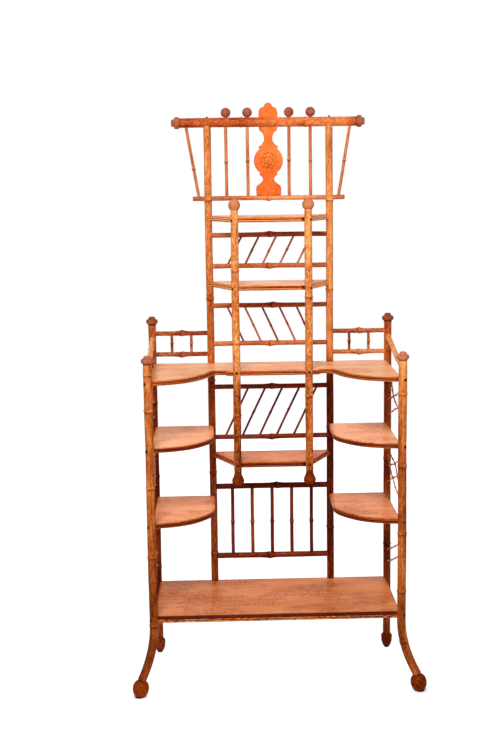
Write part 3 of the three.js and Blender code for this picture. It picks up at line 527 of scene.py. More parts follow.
def shelf_wood(name):
    """Varnished softwood shelf. The grain runs along the board; dark curled figure lies in patches,
    with pale scratches, small dark knots and a browner edge: worn, and on the edge face painted
    shade above its strips."""
    f = Nodes(bpy.data.materials.new(name))
    grain = f.mark("grain", "Vector")
    clouds = f.noise(grain, (5, 9, 5), 3.0)
    streak = f.noise(grain, (5, 75, 30), 4.0, 0.6)
    fine = f.noise(grain, (26, 640, 200), 3.0, 0.6)
    curl = f.noise(grain, (60, 95, 40), 5.0, 0.6, 1.3)
    patch = f.noise(grain, (8, 13, 5), 2.0).rising(0.44, 0.56)
    figure = abs(curl - 0.5).falling(0.006, 0.026) * patch
    dust = f.noise(grain, (300, 380, 200), 3.0, 0.6).rising(0.56, 0.70) * patch
    scratch = f.noise(grain, (18, 300, 60), 2.0, 0.4, 2.0).rising(0.70, 0.76)
    cells = {"Vector": f.stretched(grain, (7, 12, 4)), "Scale": 1.0}
    knot = f.add("ShaderNodeTexVoronoi", {}, cells, "Distance").falling(0.03, 0.09)
    # the rim darkens the edge: wear, and painted shade above the strips
    dark = (f.mark("tone") + (clouds - 0.5) * 0.35 + (streak - 0.5) * 0.24 + (fine - 0.5) * 0.22
            + figure * 0.46 + dust * 0.3 + knot * 0.3 - scratch * 0.16 + f.mark("rim") * 0.22)
    return f.done(f.ramp(dark, EVEN, SHELF), 0.36 + figure * 0.14 + (clouds - 0.5) * 0.2,
                  fine * 0.3 - scratch * 0.6 - figure * 0.3, 0.0002, 0.35,
                  **gloss(0.05, 0.16, 0.045))


def splat_wood(name):
    """Flat orange board with an incised rosette: each line is where the distance from its centre
    meets a radius that rises and falls with the angle, five times for the petals and eleven for
    the leaves. The lines break up where a noise is low."""
    f = Nodes(bpy.data.materials.new(name))
    place = f.place()
    grain = f.mark("grain", "Vector")
    x = f.add("ShaderNodeSeparateXYZ", {}, {"Vector": place}, "X")
    sway = f.noise(place, (60, 60, 60), 2.0) - 0.5
    height = x.also("Z") - ROSETTE_HEIGHT
    radius = (x * x + height * height) ** 0.5 * (1 + sway * 0.24)
    angle = height.bearing(x) + sway * 0.7
    petal = abs((angle * 2.5).cosine()) ** 0.6
    leaf = abs((angle * 5.5 + 0.4).cosine()) ** 0.7
    broken = f.noise(grain, (330, 330, 330), 2.0).rising(0.36, 0.56)
    petals = abs(radius - petal * 0.0078 - 0.0066).falling(0.0007, 0.0019)
    leaves = abs(radius - leaf * 0.0064 - 0.0172).falling(0.0007, 0.0019)
    bowl = radius.falling(0.0010, 0.0026)
    spokes = (abs((angle * 2.5).sine()).falling(0.06, 0.24) * radius.rising(0.002, 0.004)
              * radius.falling(0.009, 0.0150))
    front = x.also("Y").falling(BACK_Y - 0.0034, BACK_Y - 0.0024)
    lines = (petals * (0.5 + broken * 0.5) + leaves * (0.35 + broken * 0.65) + bowl
             + spokes * 0.6)
    cut = lines.least(1.0) * front
    streak = f.noise(grain, (90, 40, 8), 4.0, 0.6)
    fine = f.noise(grain, (700, 200, 30), 3.0, 0.6)
    dirt = f.noise(grain, (120, 120, 120), 3.0)
    dark = (f.mark("tone") + (streak - 0.5) * 0.3 + (fine - 0.5) * 0.2
            + f.mark("rim") * 0.3 * dirt.rising(0.3, 0.5) + cut * 0.4
            + (f.noise(place, (16, 16, 16), 3.0) - 0.5) * 0.4 + (dirt - 0.5) * 0.3
            - abs(height - 0.036).falling(0.0, 0.085) * 0.12)
    return f.done(f.ramp(dark, SPLAT_PLACES, SPLAT), 0.5 + cut * 0.2, fine * 0.25 - cut * 1.2,
                  0.0005, 0.6, **gloss(0.03, 0.35, 0.06))


def dark_steel(name):
    """Old steel screw heads: brown rust over dull grey."""
    f = Nodes(bpy.data.materials.new(name))
    rust = f.noise(f.place(), (900, 900, 900), 4.0).rising(0.4, 0.6)
    colour = f.add("ShaderNodeMix", {"data_type": "RGBA"},
                   {0: rust, 6: linear(66, 34, 22), 7: linear(38, 14, 6)}, 2)
    return f.done(colour, 0.5 + rust * 0.25, rust, 0.0001, 0.5,
                  **{"Metallic": 0.2, "Specular IOR Level": 0.1})


# The record's material slot of each finish, what makes it, and how
FINISHES = {
    "scorched culm": ("bamboo_culm", bamboo,
                      dict(colours=WEATHERED, mottle=0.27, fibre=0.34, slow=0.3)),
    "smoked culm": ("bamboo_culm", bamboo,
                    dict(colours=CULM, mottle=0.18, speckle=0.15, fibre=0.42, slow=0.32)),
    "weathered culm": ("bamboo_culm", bamboo,
                       dict(colours=WEATHERED, mottle=0.15, speckle=0.13, fibre=0.36, slow=0.38,
                            joint=0.8)),
    "rail bamboo": ("bamboo_rail", bamboo,
                    dict(colours=RAIL, mottle=0.12, speckle=0.10, fibre=0.3, slow=0.22)),
    "crest bamboo": ("bamboo_rail", bamboo,
                     dict(colours=CREST, mottle=0.17, speckle=0.18, slow=0.3, joint=0.3)),
    "wing bamboo": ("bamboo_rail", bamboo,
                    dict(colours=RAIL, mottle=0.22, speckle=0.2, slow=0.28)),
    "spindle bamboo": ("bamboo_spindle", bamboo,
                       dict(colours=RAIL, mottle=0.05, speckle=0.05, fibre=0.24, slow=0.3)),
    "split bamboo": ("split_bamboo", bamboo,
                     dict(colours=CREST, mottle=0.08, speckle=0.08, slow=0.3)),
    "scorched split bamboo": ("split_bamboo", bamboo,
                              dict(colours=CULM, mottle=0.34, speckle=0.3, slow=0.4)),
    "lattice cane": ("cane", bamboo, dict(colours=CULM, mottle=0.2, speckle=0.2, scale=2.0)),
    "turned wood": ("turned_wood", turned_wood, dict(colours=TURNED)),
    "dry turned wood": ("turned_wood", turned_wood, dict(colours=DRY)),
    "shelf wood": ("shelf_board", shelf_wood, {}),
    "splat wood": ("fretted_board", splat_wood, {}),
    "screw steel": ("turned_wood", dark_steel, {}),
}


def finish(name):
    """Slot and material of a named finish, made when it is first asked for."""
    slot, maker, settings = FINISHES[name]
    return slot, bpy.data.materials.get(name) or maker(name, **settings)


# Sizes and colours


def length(name, description, default):
    return FloatProperty(name=name, description=description, default=default, unit="LENGTH")


def power(name, description, default):
    return FloatProperty(name=name, description=description, default=default, unit="POWER")


class CulmSizes(bpy.types.PropertyGroup):
    """Radii and ring joints of the posts."""

    front_radius: length("Front post radius", "Radius of the sabre-legged front posts", 0.0124)
    back_radius: length("Back post radius", "Radius of the outer back posts", 0.0115)
    centre_radius: length("Centre post radius", "Radius of the tall centre posts", 0.0110)
    hanging_radius: length("Hanging post radius", "Radius of the hanging front posts", 0.0112)
    ring_rise: length("Ring rise", "How far a post's ring joint stands out", 0.0016)
    ring_width: length("Ring width", "Length of culm that a post's ring joint takes", 0.014)
    sides: IntProperty(name="Sides", description="Points round each post", default=28, min=8,
                       max=64)


class RailSizes(bpy.types.PropertyGroup):
    """Radii of the rails, arms and lattice rods."""

    crest_radius: length("Crest rail radius", "Radius of the stout top rail", 0.014)
    lower_crest_radius: length("Lower crest rail radius",
                               "Radius of the light rail through the centre posts", 0.007)
    raked_radius: length("Raked gallery radius", "Radius of the raked galleries' rails", 0.0073)
    upright_radius: length("Upright gallery radius", "Radius of the upright gallery's rails",
                           0.0087)
    wing_radius: length("Wing gallery radius", "Radius of the wing galleries' rails", 0.0068)
    arm_radius: length("Arm radius", "Radius of the side arms", 0.0077)
    cane_radius: length("Cane radius", "Radius of the lattice rods", 0.002)


class StageSizes(bpy.types.PropertyGroup):
    """Light, floor and camera."""

    floor: FloatVectorProperty(name="Floor colour", description="Colour of the studio floor",
                               default=(0.9, 0.9, 0.9), subtype="COLOR", min=0.0, max=1.0)
    key: power("Key power", "Power of the large lamp above the front", 158.0)
    fill: power("Fill power", "Power of the lamp at the right", 12.0)
    back: power("Back power", "Power of the lamp behind", 50.0)
    surround: FloatProperty(name="Surround", description="Light from all round the object",
                            default=0.17, min=0.0, max=2.0)
    lens: FloatProperty(name="Lens", description="Focal length of the camera in millimetres",
                        default=61.43, min=10.0, max=300.0)


# Posts

# Of each post, the ring joints as shares of its length, on a front post of the length above the
# bend, and the tones as pairs of height and tone: the post's own colour, with painted shade that
# darkens it towards the bottom and below the main shelf
POSTS = {
    "back_post_left": ((0.233, 0.526, 0.759), (
        (0.05, 0.76), (0.2, 0.86), (0.45, 0.92), (0.85, 0.88), (0.95, 0.66), (1.05, 0.62))),
    "back_post_right": ((0.295, 0.569, 0.816), (
        (0.05, 0.74), (0.5, 0.70), (0.9, 0.66), (0.95, 0.60), (1.05, 0.57))),
    "centre_post_left": ((0.063, 0.247, 0.452, 0.631, 0.841), (
        (0.23, 0.69), (0.6, 0.70), (0.9, 0.66), (0.94, 0.57), (1.2, 0.50), (1.63, 0.46))),
    "centre_post_right": ((0.118, 0.3445, 0.648, 0.838), (
        (0.23, 0.90), (0.6, 0.96), (0.9, 0.84), (0.94, 0.44), (1.2, 0.27), (1.63, 0.34))),
    "hanging_post_left": ((0.218, 0.499, 0.773), (
        (0.6, 0.72), (0.85, 0.66), (0.91, 0.50), (1.0, 0.38), (1.39, 0.34))),
    "hanging_post_right": ((0.2905, 0.6694), (
        (0.6, 0.58), (0.85, 0.53), (0.91, 0.48), (1.0, 0.41), (1.39, 0.34))),
    "front_post_left": ((0.266, 0.534, 0.827, 0.962), (
        (0.04, 0.82), (0.10, 0.76), (0.18, 0.72), (0.28, 0.66), (0.45, 0.69), (0.6, 0.47),
        (0.8, 0.53), (0.95, 0.60))),
    "front_post_right": ((0.113, 0.3386, 0.5997, 0.8766), (
        (0.04, 0.58), (0.2, 0.61), (0.45, 0.65), (0.6, 0.61), (0.8, 0.46), (0.95, 0.39))),
}
LEG_BEND = 0.205  # height at which a front post starts to bend
LEG_SEAT = 0.047  # height of its lower end
LEG_RINGS = {"left": 0.99, "right": 0.59}  # its lowest ring joint, as a share between the two
LEG_SWEEP = {-1: 0.038, 1: 0.0441}  # how far the lower end stands outward
LEG_REACH = 0.026  # how far it stands forward
SEATED = 0.001  # how far a post's end is let into what it meets


def leg_path(s):
    """The front post's axis: straight above the bend, and below it out and forward by the square
    of the share of the bend that is passed."""
    height = np.append(np.linspace(LEG_SEAT, LEG_BEND, 60), FRONT_TOP)
    swept = np.clip((LEG_BEND - height) / (LEG_BEND - LEG_SEAT), 0, None) ** 2
    return bent(np.stack([s * (SIDE_X + LEG_SWEEP[s] * swept),
                          BACK_Y - FRONT_DEPTH - LEG_REACH * swept, height], axis=1))


class ETAGERE_OT_posts(bpy.types.Operator):
    """Make the eight ringed posts"""

    bl_idname = "etagere.posts"
    bl_label = "Posts"

    def execute(self, context):
        sizes = context.scene.etagere_culms
        joint = sizes.ring_rise, sizes.ring_width, sizes.sides
        straight = (
            ("back", SIDE_X, 0.0, BACK_FOOT - SEATED, BACK_TOP, sizes.back_radius, "smoked culm"),
            ("centre", CENTRE_X, 0.0, SHELF_TOPS["bottom_shelf"] - SEATED, CREST_HEIGHT - 0.004,
             sizes.centre_radius, "smoked culm"),
            ("hanging", HANGING_X, HANGING_DEPTH, HANGING_FOOT, HANGING_TOP + SEATED,
             sizes.hanging_radius, "scorched culm"))
        for number, (kind, x, depth, foot, top, radius, wood) in enumerate(straight):
            for side, s in SIDES:
                node = f"{kind}_post_{side}"
                rings, tones = POSTS[node]
                path = bent(np.array([at(s * x, depth, foot), at(s * x, depth, top)]))
                # the tone graded by height holds painted shade, darker lower down
                skin = culm(Skin(), path, radius, rings, *joint, graded(2, tones),
                            11 + 2 * number + (s > 0))
                skin.piece(f"culm_{node}", wood, node)
        for side, s in SIDES:
            node = f"front_post_{side}"
            rings, tones = POSTS[node]
            heights = np.append(LEG_BEND + np.array(rings) * (FRONT_TOP - LEG_BEND),
                                LEG_SEAT + LEG_RINGS[side] * (LEG_BEND - LEG_SEAT))
            path = leg_path(s)
            shares = np.interp(heights, path[1][:, 2], path[0]) / path[0][-1]
            # the tone graded by height holds painted shade, darker lower down
            skin = culm(Skin(), path, sizes.front_radius, shares, *joint, graded(2, tones),
                        31 + (s > 0))
            skin.piece(f"culm_{node}", "weathered culm", node)
        return {"FINISHED"}


# Galleries

DOWN_BUD = (math.pi / 2,)
UP_BUD = (-math.pi / 2,)
# Each joint below: rise and width of a ring joint, and points round the culm
RAIL_JOINT = (0.0016, 0.030, 22)
WING_JOINT = (0.0019, 0.026, 22)
WING_ROD_JOINT = (0.0015, 0.011, 14)
WING_HEIGHTS = (1.015, 0.951)


class Gallery(NamedTuple):
    """Two rails between the centre posts, and five rods from rail to rail."""

    top: float  # height of the upper rail
    bottom: float  # height of the lower rail
    run: float  # how far right of its middle a rod's head stands
    spacing: float  # of the rods
    rod_radius: float
    rod_rings: tuple  # ring joint of each rod, as a share of its length
    rings: tuple  # of the upper and the lower rail
    tones: tuple  # of the upper and the lower rail
    rod_tones: tuple


STEPPED = (0.51, 0.49, 0.47, 0.53, 0.51)
LEVEL = (0.485,) * 5
GALLERIES = {
    "first": Gallery(1.311, 1.2175, 0.0235, 0.0525, 0.0031, STEPPED, (0.5, 0.49),
                     (0.53, 0.42), (0.60, 0.54, 0.38, 0.36, 0.38)),
    "second": Gallery(1.0975, 0.981, -0.0265, 0.0525, 0.0031, STEPPED, (0.52, 0.5),
                      (0.52, 0.46), (0.60, 0.41, 0.60, 0.46, 0.56)),
    "third": Gallery(0.8475, 0.6905, 0.0375, 0.0525, 0.0033, STEPPED, (0.505, 0.5),
                     (0.72, 0.76), (0.66, 0.76, 0.80, 0.80, 0.84)),
    "upright": Gallery(0.5335, 0.311, 0.0, 0.0615, 0.0054, LEVEL, (0.54, 0.47),
                       (0.84, 0.78), (0.78, 0.68, 0.84, 0.66, 0.86)),
}


class ETAGERE_OT_galleries(bpy.types.Operator):
    """Make the four galleries between the centre posts and the two wing galleries"""

    bl_idname = "etagere.galleries"
    bl_label = "Galleries"

    def execute(self, context):
        sizes = context.scene.etagere_rails
        for number, (label, gallery) in enumerate(GALLERIES.items()):
            radius = sizes.upright_radius if label == "upright" else sizes.raked_radius
            rods = Skin()
            for place, tone in enumerate(gallery.rod_tones, -2):
                x = place * gallery.spacing
                rod = back_line(x - gallery.run, gallery.bottom, x + gallery.run, gallery.top)
                culm(rods, rod, gallery.rod_radius, [gallery.rod_rings[place + 2]],
                     gallery.rod_radius * 0.34, 0.013, 14, tone, 71 + 9 * number + place,
                     wander=0.0005, step=0.014)
            for lower, level in enumerate(("upper", "lower")):
                height = gallery.bottom if lower else gallery.top
                skin = culm(Skin(), back_line(-CENTRE_X, height, CENTRE_X, height), radius,
                            [gallery.rings[lower]], *RAIL_JOINT, gallery.tones[lower],
                            51 + 2 * number + lower, bud=DOWN_BUD if lower else UP_BUD,
                            wander=0.0006)
                if lower:
                    rods.piece(f"gallery_{label}_spindles", "spindle bamboo")
                node = f"{label}_gallery_{level}_rail"
                skin.piece(f"gallery_{node}", "rail bamboo", node)
        for side, s in SIDES:
            skin = Skin()
            inner, outer = sorted((s * CENTRE_X, s * SIDE_X))
            for height, bud, tone in zip(WING_HEIGHTS, (UP_BUD, DOWN_BUD),
                                         (0.60 - 0.07 * s, 0.50 - 0.13 * s)):
                culm(skin, back_line(inner, height, outer, height), sizes.wing_radius, [0.5],
                     *WING_JOINT, tone, 131 + (s > 0) + round(height * 10), bud=bud,
                     wander=0.0005)
            for third in (1, 2):
                x = inner + (outer - inner) * third / 3
                culm(skin, back_line(x, WING_HEIGHTS[1], x, WING_HEIGHTS[0]), 0.0042, [0.5],
                     *WING_ROD_JOINT, 0.56, 141 + third, step=0.01)
            skin.piece(f"gallery_wing_{side}", "wing bamboo", f"wing_gallery_{side}")
        return {"FINISHED"}


# Crest

CREST_END = 0.264  # how far the crest rail reaches to each side
LOWER_CREST_END = 0.228
CREST_RISE = 0.014  # from the crest rail's axis to its top
CREST_JOINT = (0.0013, 0.018, 32)
LOWER_CREST_JOINT = (0.0019, 0.018, 22)
STEM_JOINT = (0.0015, 0.010, 16)
# Tones along the rails, by the distance right of the middle
CREST_TONES = ((-0.264, 0.68), (-0.235, 0.65), (-0.205, 0.63), (-0.15, 0.61), (-0.05, 0.56),
               (0.02, 0.42), (0.12, 0.32), (0.18, 0.34), (0.23, 0.48), (0.25, 0.60),
               (0.264, 0.66))
LOWER_CREST_TONES = ((-0.228, 0.52), (-0.10, 0.42), (-0.06, 0.40), (-0.03, 0.30), (0.02, 0.22),
                     (0.09, 0.20), (0.16, 0.30), (0.228, 0.34))
STRUT_FOOT, STRUT_HEAD = 0.209, 0.246  # distance of a raking strut's ends from the middle
STRUT_RINGS = {"left": 0.40, "right": 0.485}
STEMS = ((-0.126, 0.45), (-0.062, 0.458), (0.062, 0.467), (0.126, 0.455))  # place and ring joint
END_CAP = ((0.0140, 0.0), (0.0162, 0.0006), (0.0174, 0.0030), (0.0175, 0.0075),
           (0.0172, 0.0120), (0.0160, 0.0145), (0.0125, 0.0150), (0.0112, 0.0158),
           (0.0112, 0.0205), (0.0098, 0.0230), (0.0060, 0.0240), (0.0, 0.0240))


class ETAGERE_OT_crest(bpy.types.Operator):
    """Make the crest: two rails, the raking struts, the four ball-topped spindles and the caps"""

    bl_idname = "etagere.crest"
    bl_label = "Crest"

    def execute(self, context):
        sizes = context.scene.etagere_rails
        path = back_line(-CREST_END, CREST_HEIGHT, CREST_END, CREST_HEIGHT)
        skin = culm(Skin(), path, sizes.crest_radius, [0.345, 0.71], *CREST_JOINT,
                    graded(0, CREST_TONES), 201)
        skin.piece("crest_top_rail", "crest bamboo", "crest_rail")
        path = back_line(-LOWER_CREST_END, LOWER_CREST_HEIGHT, LOWER_CREST_END,
                         LOWER_CREST_HEIGHT)
        skin = culm(Skin(), path, sizes.lower_crest_radius, [0.5], *LOWER_CREST_JOINT,
                    graded(0, LOWER_CREST_TONES), 202, bud=DOWN_BUD, wander=0.0006)
        for side, s in SIDES:
            rod = back_line(s * STRUT_FOOT, LOWER_CREST_HEIGHT, s * STRUT_HEAD, CREST_HEIGHT)
            culm(skin, rod, 0.0046, [STRUT_RINGS[side]], *STEM_JOINT, 0.42 - 0.04 * s, 204 + s)
        skin.piece("crest_light_rail", "rail bamboo", "crest_lower_rail")
        for number, (x, ring) in enumerate(STEMS):
            name = f"crest_spindle_{number + 1}"
            rod = back_line(x, LOWER_CREST_HEIGHT, x, CREST_HEIGHT + 0.018)
            skin = culm(Skin(), rod, 0.0048, [ring], *STEM_JOINT, 0.39, 211 + number,
                        wander=0.0005)
            skin.piece(f"{name}_stem", "spindle bamboo", name)
            skin = turned(Skin(), ball(0.0146, 0.0065, 22), at(x, 0, CREST_HEIGHT + 0.0156), UP,
                          0.58, 221 + number, steps=1)
            skin.piece(f"{name}_ball", "dry turned wood")
        for side, s in SIDES:
            skin = turned(Skin(), END_CAP, at(s * (CREST_END + 0.0003), 0, CREST_HEIGHT),
                          s * RIGHT, 0.54, 231 + s, steps=3)
            skin.piece(f"crest_end_{side}", "dry turned wood", f"crest_end_cap_{side}")
        return {"FINISHED"}


# Half outlines of the splat from below: shares of the medallion's radius and of the clear height
# between the rails, and for the crown of its own half width and height
SPLAT_BASE = ((0.83, 0), (0.85, 0.027), (0.855, 0.05), (0.855, 0.117), (0.82, 0.137),
              (0.76, 0.148), (0.665, 0.166), (0.56, 0.185), (0.43, 0.208), (0.385, 0.236),
              (0.41, 0.262), (0.5, 0.283), (0.64, 0.303), (0.575, 0.335))
SPLAT_COLLAR = ((0.585, 0.685), (0.7, 0.71), (0.55, 0.728), (0.4, 0.76), (0.3, 0.8),
                (0.285, 0.845), (0.33, 0.885), (0.42, 0.92), (0.6, 0.95))
SPLAT_CROWN = ((1, 0), (1, 0.2), (0.99, 0.346), (0.93, 0.5), (0.83, 0.615), (0.71, 0.677),
               (0.47, 0.72), (0.4, 0.81), (0.36, 0.885), (0.2, 0.96), (0, 1))
MEDALLION_RADIUS = 0.0432
MEDALLION_HEIGHT = 0.509  # of its centre, as a share of the clear height
CROWN_HALF, CROWN_HEIGHT = 0.028, 0.0425
SPLAT_HALF = 0.0035  # half the thickness


def splat_outline():
    """Half outline of base, medallion arc, collar and crown, mirrored and eased."""
    foot, underside = LOWER_CREST_HEIGHT + 0.0073, CREST_HEIGHT - CREST_RISE
    clear = underside - foot
    base, collar = (np.array(shares) * [MEDALLION_RADIUS, clear] + [0, foot]
                    for shares in (SPLAT_BASE, SPLAT_COLLAR))
    centre = foot + MEDALLION_HEIGHT * clear
    low, high = (math.atan2(x, z - centre) for x, z in (base[-1], collar[0]))
    angle = np.linspace(low, high, 14)[1:-1]
    arc = np.stack([MEDALLION_RADIUS * np.sin(angle),
                    centre + MEDALLION_RADIUS * np.cos(angle)], axis=1)
    crown = np.array(SPLAT_CROWN) * [CROWN_HALF, CROWN_HEIGHT] + [0, CREST_HEIGHT + CREST_RISE]
    half = np.concatenate([base, arc, collar, [[CROWN_HALF, underside]], crown])
    whole = np.concatenate([half, half[-2::-1] * [-1, 1], half[:1]])
    return flowing(whole, 3, 40.0)[:-1]


def standing(points):
    """A board's points turned up from the floor, its top to the front."""
    return np.stack([points[..., 0], BACK_Y - points[..., 2], points[..., 1]], axis=-1)


class ETAGERE_OT_splat(bpy.types.Operator):
    """Make the fretted splat with its incised rosette"""

    bl_idname = "etagere.splat"
    bl_label = "Splat"

    def execute(self, context):
        skin = board(Skin(), splat_outline(), -SPLAT_HALF, SPLAT_HALF, 0.36, 241, arris=0.0006,
                     band=0.0028, place=standing)
        skin.piece("crest_fretted_splat", "splat wood", "crest_splat")
        return {"FINISHED"}


# Turnings

# Profiles from the seat: radius and height, the drop's in metres, the others as shares of a size
CAP_SIZE = (0.0176, 0.0266)
CAP = ((0.66, 0), (0.70, 0.05), (0.72, 0.14), (0.88, 0.19), (0.99, 0.30), (1, 0.46),
       (0.95, 0.60), (0.80, 0.67), (0.60, 0.70), (0.60, 0.74), (0.57, 0.86), (0.42, 0.96),
       (0.2, 1), (0, 1))
DROP = ((0.0106, 0), (0.0109, 0.0050), (0.0120, 0.0115), (0.0146, 0.0180), (0.0174, 0.0240),
        (0.0184, 0.0290), (0.0176, 0.0340), (0.0150, 0.0382), (0.0105, 0.0408),
        (0.0050, 0.0419), (0, 0.0420))
EGG_SIZE = (0.0236, 0.0522)
EGG = ((0.56, 0), (0.76, 0.08), (0.95, 0.24), (1, 0.42), (0.96, 0.58), (0.82, 0.74),
       (0.62, 0.86), (0.55, 0.885), (0.54, 1), (0, 1))
ACORN_SIZE = (0.0172, 0.0461)
ACORN = ((0.62, 0), (0.82, 0.05), (0.97, 0.14), (1, 0.27), (0.985, 0.37), (0.93, 0.40),
         (0.93, 0.43), (0.95, 0.46), (0.86, 0.66), (0.68, 0.84), (0.52, 0.93), (0.47, 0.95),
         (0.46, 1), (0, 1))


class ETAGERE_OT_turnings(bpy.types.Operator):
    """Make the caps, ball finials, pear drops and feet"""

    bl_idname = "etagere.turnings"
    bl_label = "Turnings"

    def execute(self, context):
        cap = np.array(CAP) * CAP_SIZE
        for side, s in SIDES:
            outer, hanging = s * SIDE_X, s * HANGING_X
            # the caps' neck paints shade under their overhang, the feet's sole paints shade where
            # they meet the floor
            forms = (
                ("back_post_cap", cap, at(outer, 0, BACK_TOP), UP, 0.65, 255, {"neck": 0.16}),
                ("front_post_cap", cap, at(outer, FRONT_DEPTH, FRONT_TOP), UP, 0.42 - 0.05 * s,
                 256, {"neck": 0.16}),
                ("ball_finial", ball(0.0173, 0.0095, 24), at(hanging, HANGING_DEPTH, HANGING_TOP),
                 UP, 0.3, 261, {"steps": 1}),
                ("drop_finial", DROP, at(hanging, HANGING_DEPTH, HANGING_FOOT), -UP, 0.74, 271,
                 {}),
                ("back_foot", np.array(ACORN) * ACORN_SIZE, at(outer, 0, BACK_FOOT), -UP, 0.66,
                 281, {"sole_shade": 0.3}),
                ("front_foot", np.array(EGG) * EGG_SIZE, leg_path(s)[1][0], (s * 0.14, -0.1, -1),
                 0.68 if s < 0 else 0.78, 291, {"sole_shade": 0.5}))
            for kind, profile, seat, axis, tone, seed, more in forms:
                skin = turned(Skin(), profile, seat, axis, tone, seed + s, **more)
                if kind.endswith("foot"):  # flat where it stands
                    skin.points[0][:, 2] = skin.points[0][:, 2].clip(0)
                skin.piece(f"turned_{kind}_{side}",
                           "dry turned wood" if cap is profile else "turned wood",
                           f"{kind}_{side}")
        return {"FINISHED"}


# Shelves

# Front curves of the main shelf and of a wing shelf, as shares from inner to outer corner
OGEE = ((0, 0), (0.03, 0.02), (0.065, 0.1), (0.125, 0.29), (0.2, 0.45), (0.31, 0.62),
        (0.45, 0.775), (0.62, 0.89), (0.8, 0.965), (1, 1))
QUARTER = ((0, 0), (0.015, 0.12), (0.06, 0.27), (0.14, 0.43), (0.25, 0.6), (0.39, 0.76),
           (0.56, 0.875), (0.77, 0.96), (1, 1))
SHELF_X = SIDE_X - 0.005
SHELF_CORNER = np.array([SHELF_X, FRONT_DEPTH - 0.006])
OGEE_START = np.array([0.172, 0.145])  # inner end of the main shelf's front curve
QUARTER_START = np.array([0.178, 0.168])  # inner end of a wing shelf's front curve
MIDDLE_FRONT = ((0.137, 0.162), (0.137, 0.145))  # right end of the main shelf's middle front
WING_BACK = ((SHELF_X, 0.008), (0.188, 0.008), (0.178, 0.018))
# Tones of each bay shelf's board and edge, how much lighter the edge's left and right slants are
# as painted light on the faces turned aside, and the seed
BAYS = {"upper": (0.05, 0.20, 0.24, 0.95, 342), "middle": (0.01, 0.28, 0.24, 0.95, 339),
        "lower": (0.28, 0.56, 0.28, 0.24, 364)}
# painted shade of the right hanging post on the edge just left of it
CORNER_SHADE = 0.45  # how much darker the edge is just left of the right hanging post


def plan(points):
    """Points of distance right and depth forward, as places on the floor."""
    return np.array([0.0, BACK_Y]) + np.asarray(points, dtype=float) * [1, -1]


def straight_back(x, depth):
    """Back edge of a shelf from right to left."""
    return plan([[x, depth], [-x, depth]])


def mirrored(points):
    """Plan points of the right side, mirrored to the left and in the other order."""
    return np.asarray(points)[::-1] * [-1, 1]


def dressed_board(node, front, back, tone, edge_tone, seed, wide=0.0050, rise=0.0030,
                  edge="split bamboo", lip=1.0, low=0.0024, narrow=0.0050, step=0.1):
    """A shelf board with two half-round strips along its edge, the lower of the wide width and the
    upper of the narrow one. The front path runs left to right, the back closes it. The lip is how
    dark the board's edge is, partly wear and partly painted shade above the strips, the step how
    much darker the upper strip is."""
    foot = SHELF_FEET[node]
    skin = board(Skin(), np.concatenate([front, back]), foot, SHELF_TOPS[node], tone, seed,
                 edge=lip)
    skin.piece(f"board_{node}", "shelf wood", node)
    skin = Skin()
    strip(skin, front, foot + low, wide, rise, edge_tone - 0.06, seed + 1)
    strip(skin, front, foot + low + wide + 0.0004, narrow, rise * 0.9, edge_tone + step, seed + 2)
    skin.piece(f"edging_{node}", edge,
               *(["bottom_shelf_edging"] if node == "bottom_shelf" else []))


class ETAGERE_OT_shelves(bpy.types.Operator):
    """Make the nine shelves and the split bamboo along their front edges"""

    bl_idname = "etagere.shelves"
    bl_label = "Shelves"

    def execute(self, context):
        run = np.array(OGEE) * (SHELF_CORNER - OGEE_START) + OGEE_START
        half = np.concatenate([MIDDLE_FRONT, run])
        front = flowing(plan(np.concatenate([mirrored(half), half])), 5, 38.0)
        dressed_board("main_shelf", front, straight_back(SHELF_X, -0.006), 0.08, 0.40, 301,
                      step=0.02)
        for side, s in SIDES:
            run = np.array(QUARTER) * (SHELF_CORNER - QUARTER_START) + QUARTER_START
            back = np.array(WING_BACK)
            if s < 0:
                run, back = mirrored(run), mirrored(back)
            front = flowing(plan(run), 6, 60.0)
            for level, tone, seed in (("middle", 0.10 + 0.025 * s, 317),
                                      ("lower", 0.225 + 0.045 * s, 316)):
                dressed_board(f"{level}_wing_shelf_{side}", front, plan(back), tone, 0.66,
                              seed + s, step=-0.10)
        corner = np.array([HANGING_X + 0.002, HANGING_DEPTH])
        turn = corner + 0.08 * (np.array([CENTRE_X, 0]) - corner)
        path = [[-CENTRE_X, 0], turn * [-1, 1], corner * [-1, 1], corner - [0.024, 0],
                corner - [0.018, 0], corner, turn, [CENTRE_X, 0]]
        for level, (tone, edge, left, right, seed) in BAYS.items():
            # the lighter slants are painted light, the darker stretch by the right post painted
            # shade
            edge_light_and_shade = [left, left, 0, 0, -CORNER_SHADE, -CORNER_SHADE, right, right]
            dressed_board(f"{level}_bay_shelf", plan(path), straight_back(CENTRE_X, -0.003),
                          tone, edge - np.array([edge_light_and_shade]).T, seed)
        front = np.stack([np.linspace(-SHELF_X, SHELF_X, 90),
                          np.full(90, BACK_Y - FRONT_DEPTH)], axis=1)
        # its darker lip paints the shade line between the board's arris and the upper strip
        dressed_board("bottom_shelf", front, straight_back(SHELF_X, -0.004), 0.345, 0.54, 351,
                      wide=0.0062, rise=0.0042, edge="scorched split bamboo", lip=2.5,
                      low=0.0006, narrow=0.0034, step=-0.17)
        return {"FINISHED"}


# Sides

ARM_JOINT = (0.0011, 0.013, 22)
ARM_RINGS = {"left": (0.3, 0.72), "right": (0.72,)}
ARM_SAG = 0.013
CANE_JOINT = (0.0011, 0.006, 10)
CANE_RINGS = (0.17, 0.34, 0.45, 0.63, 0.83)
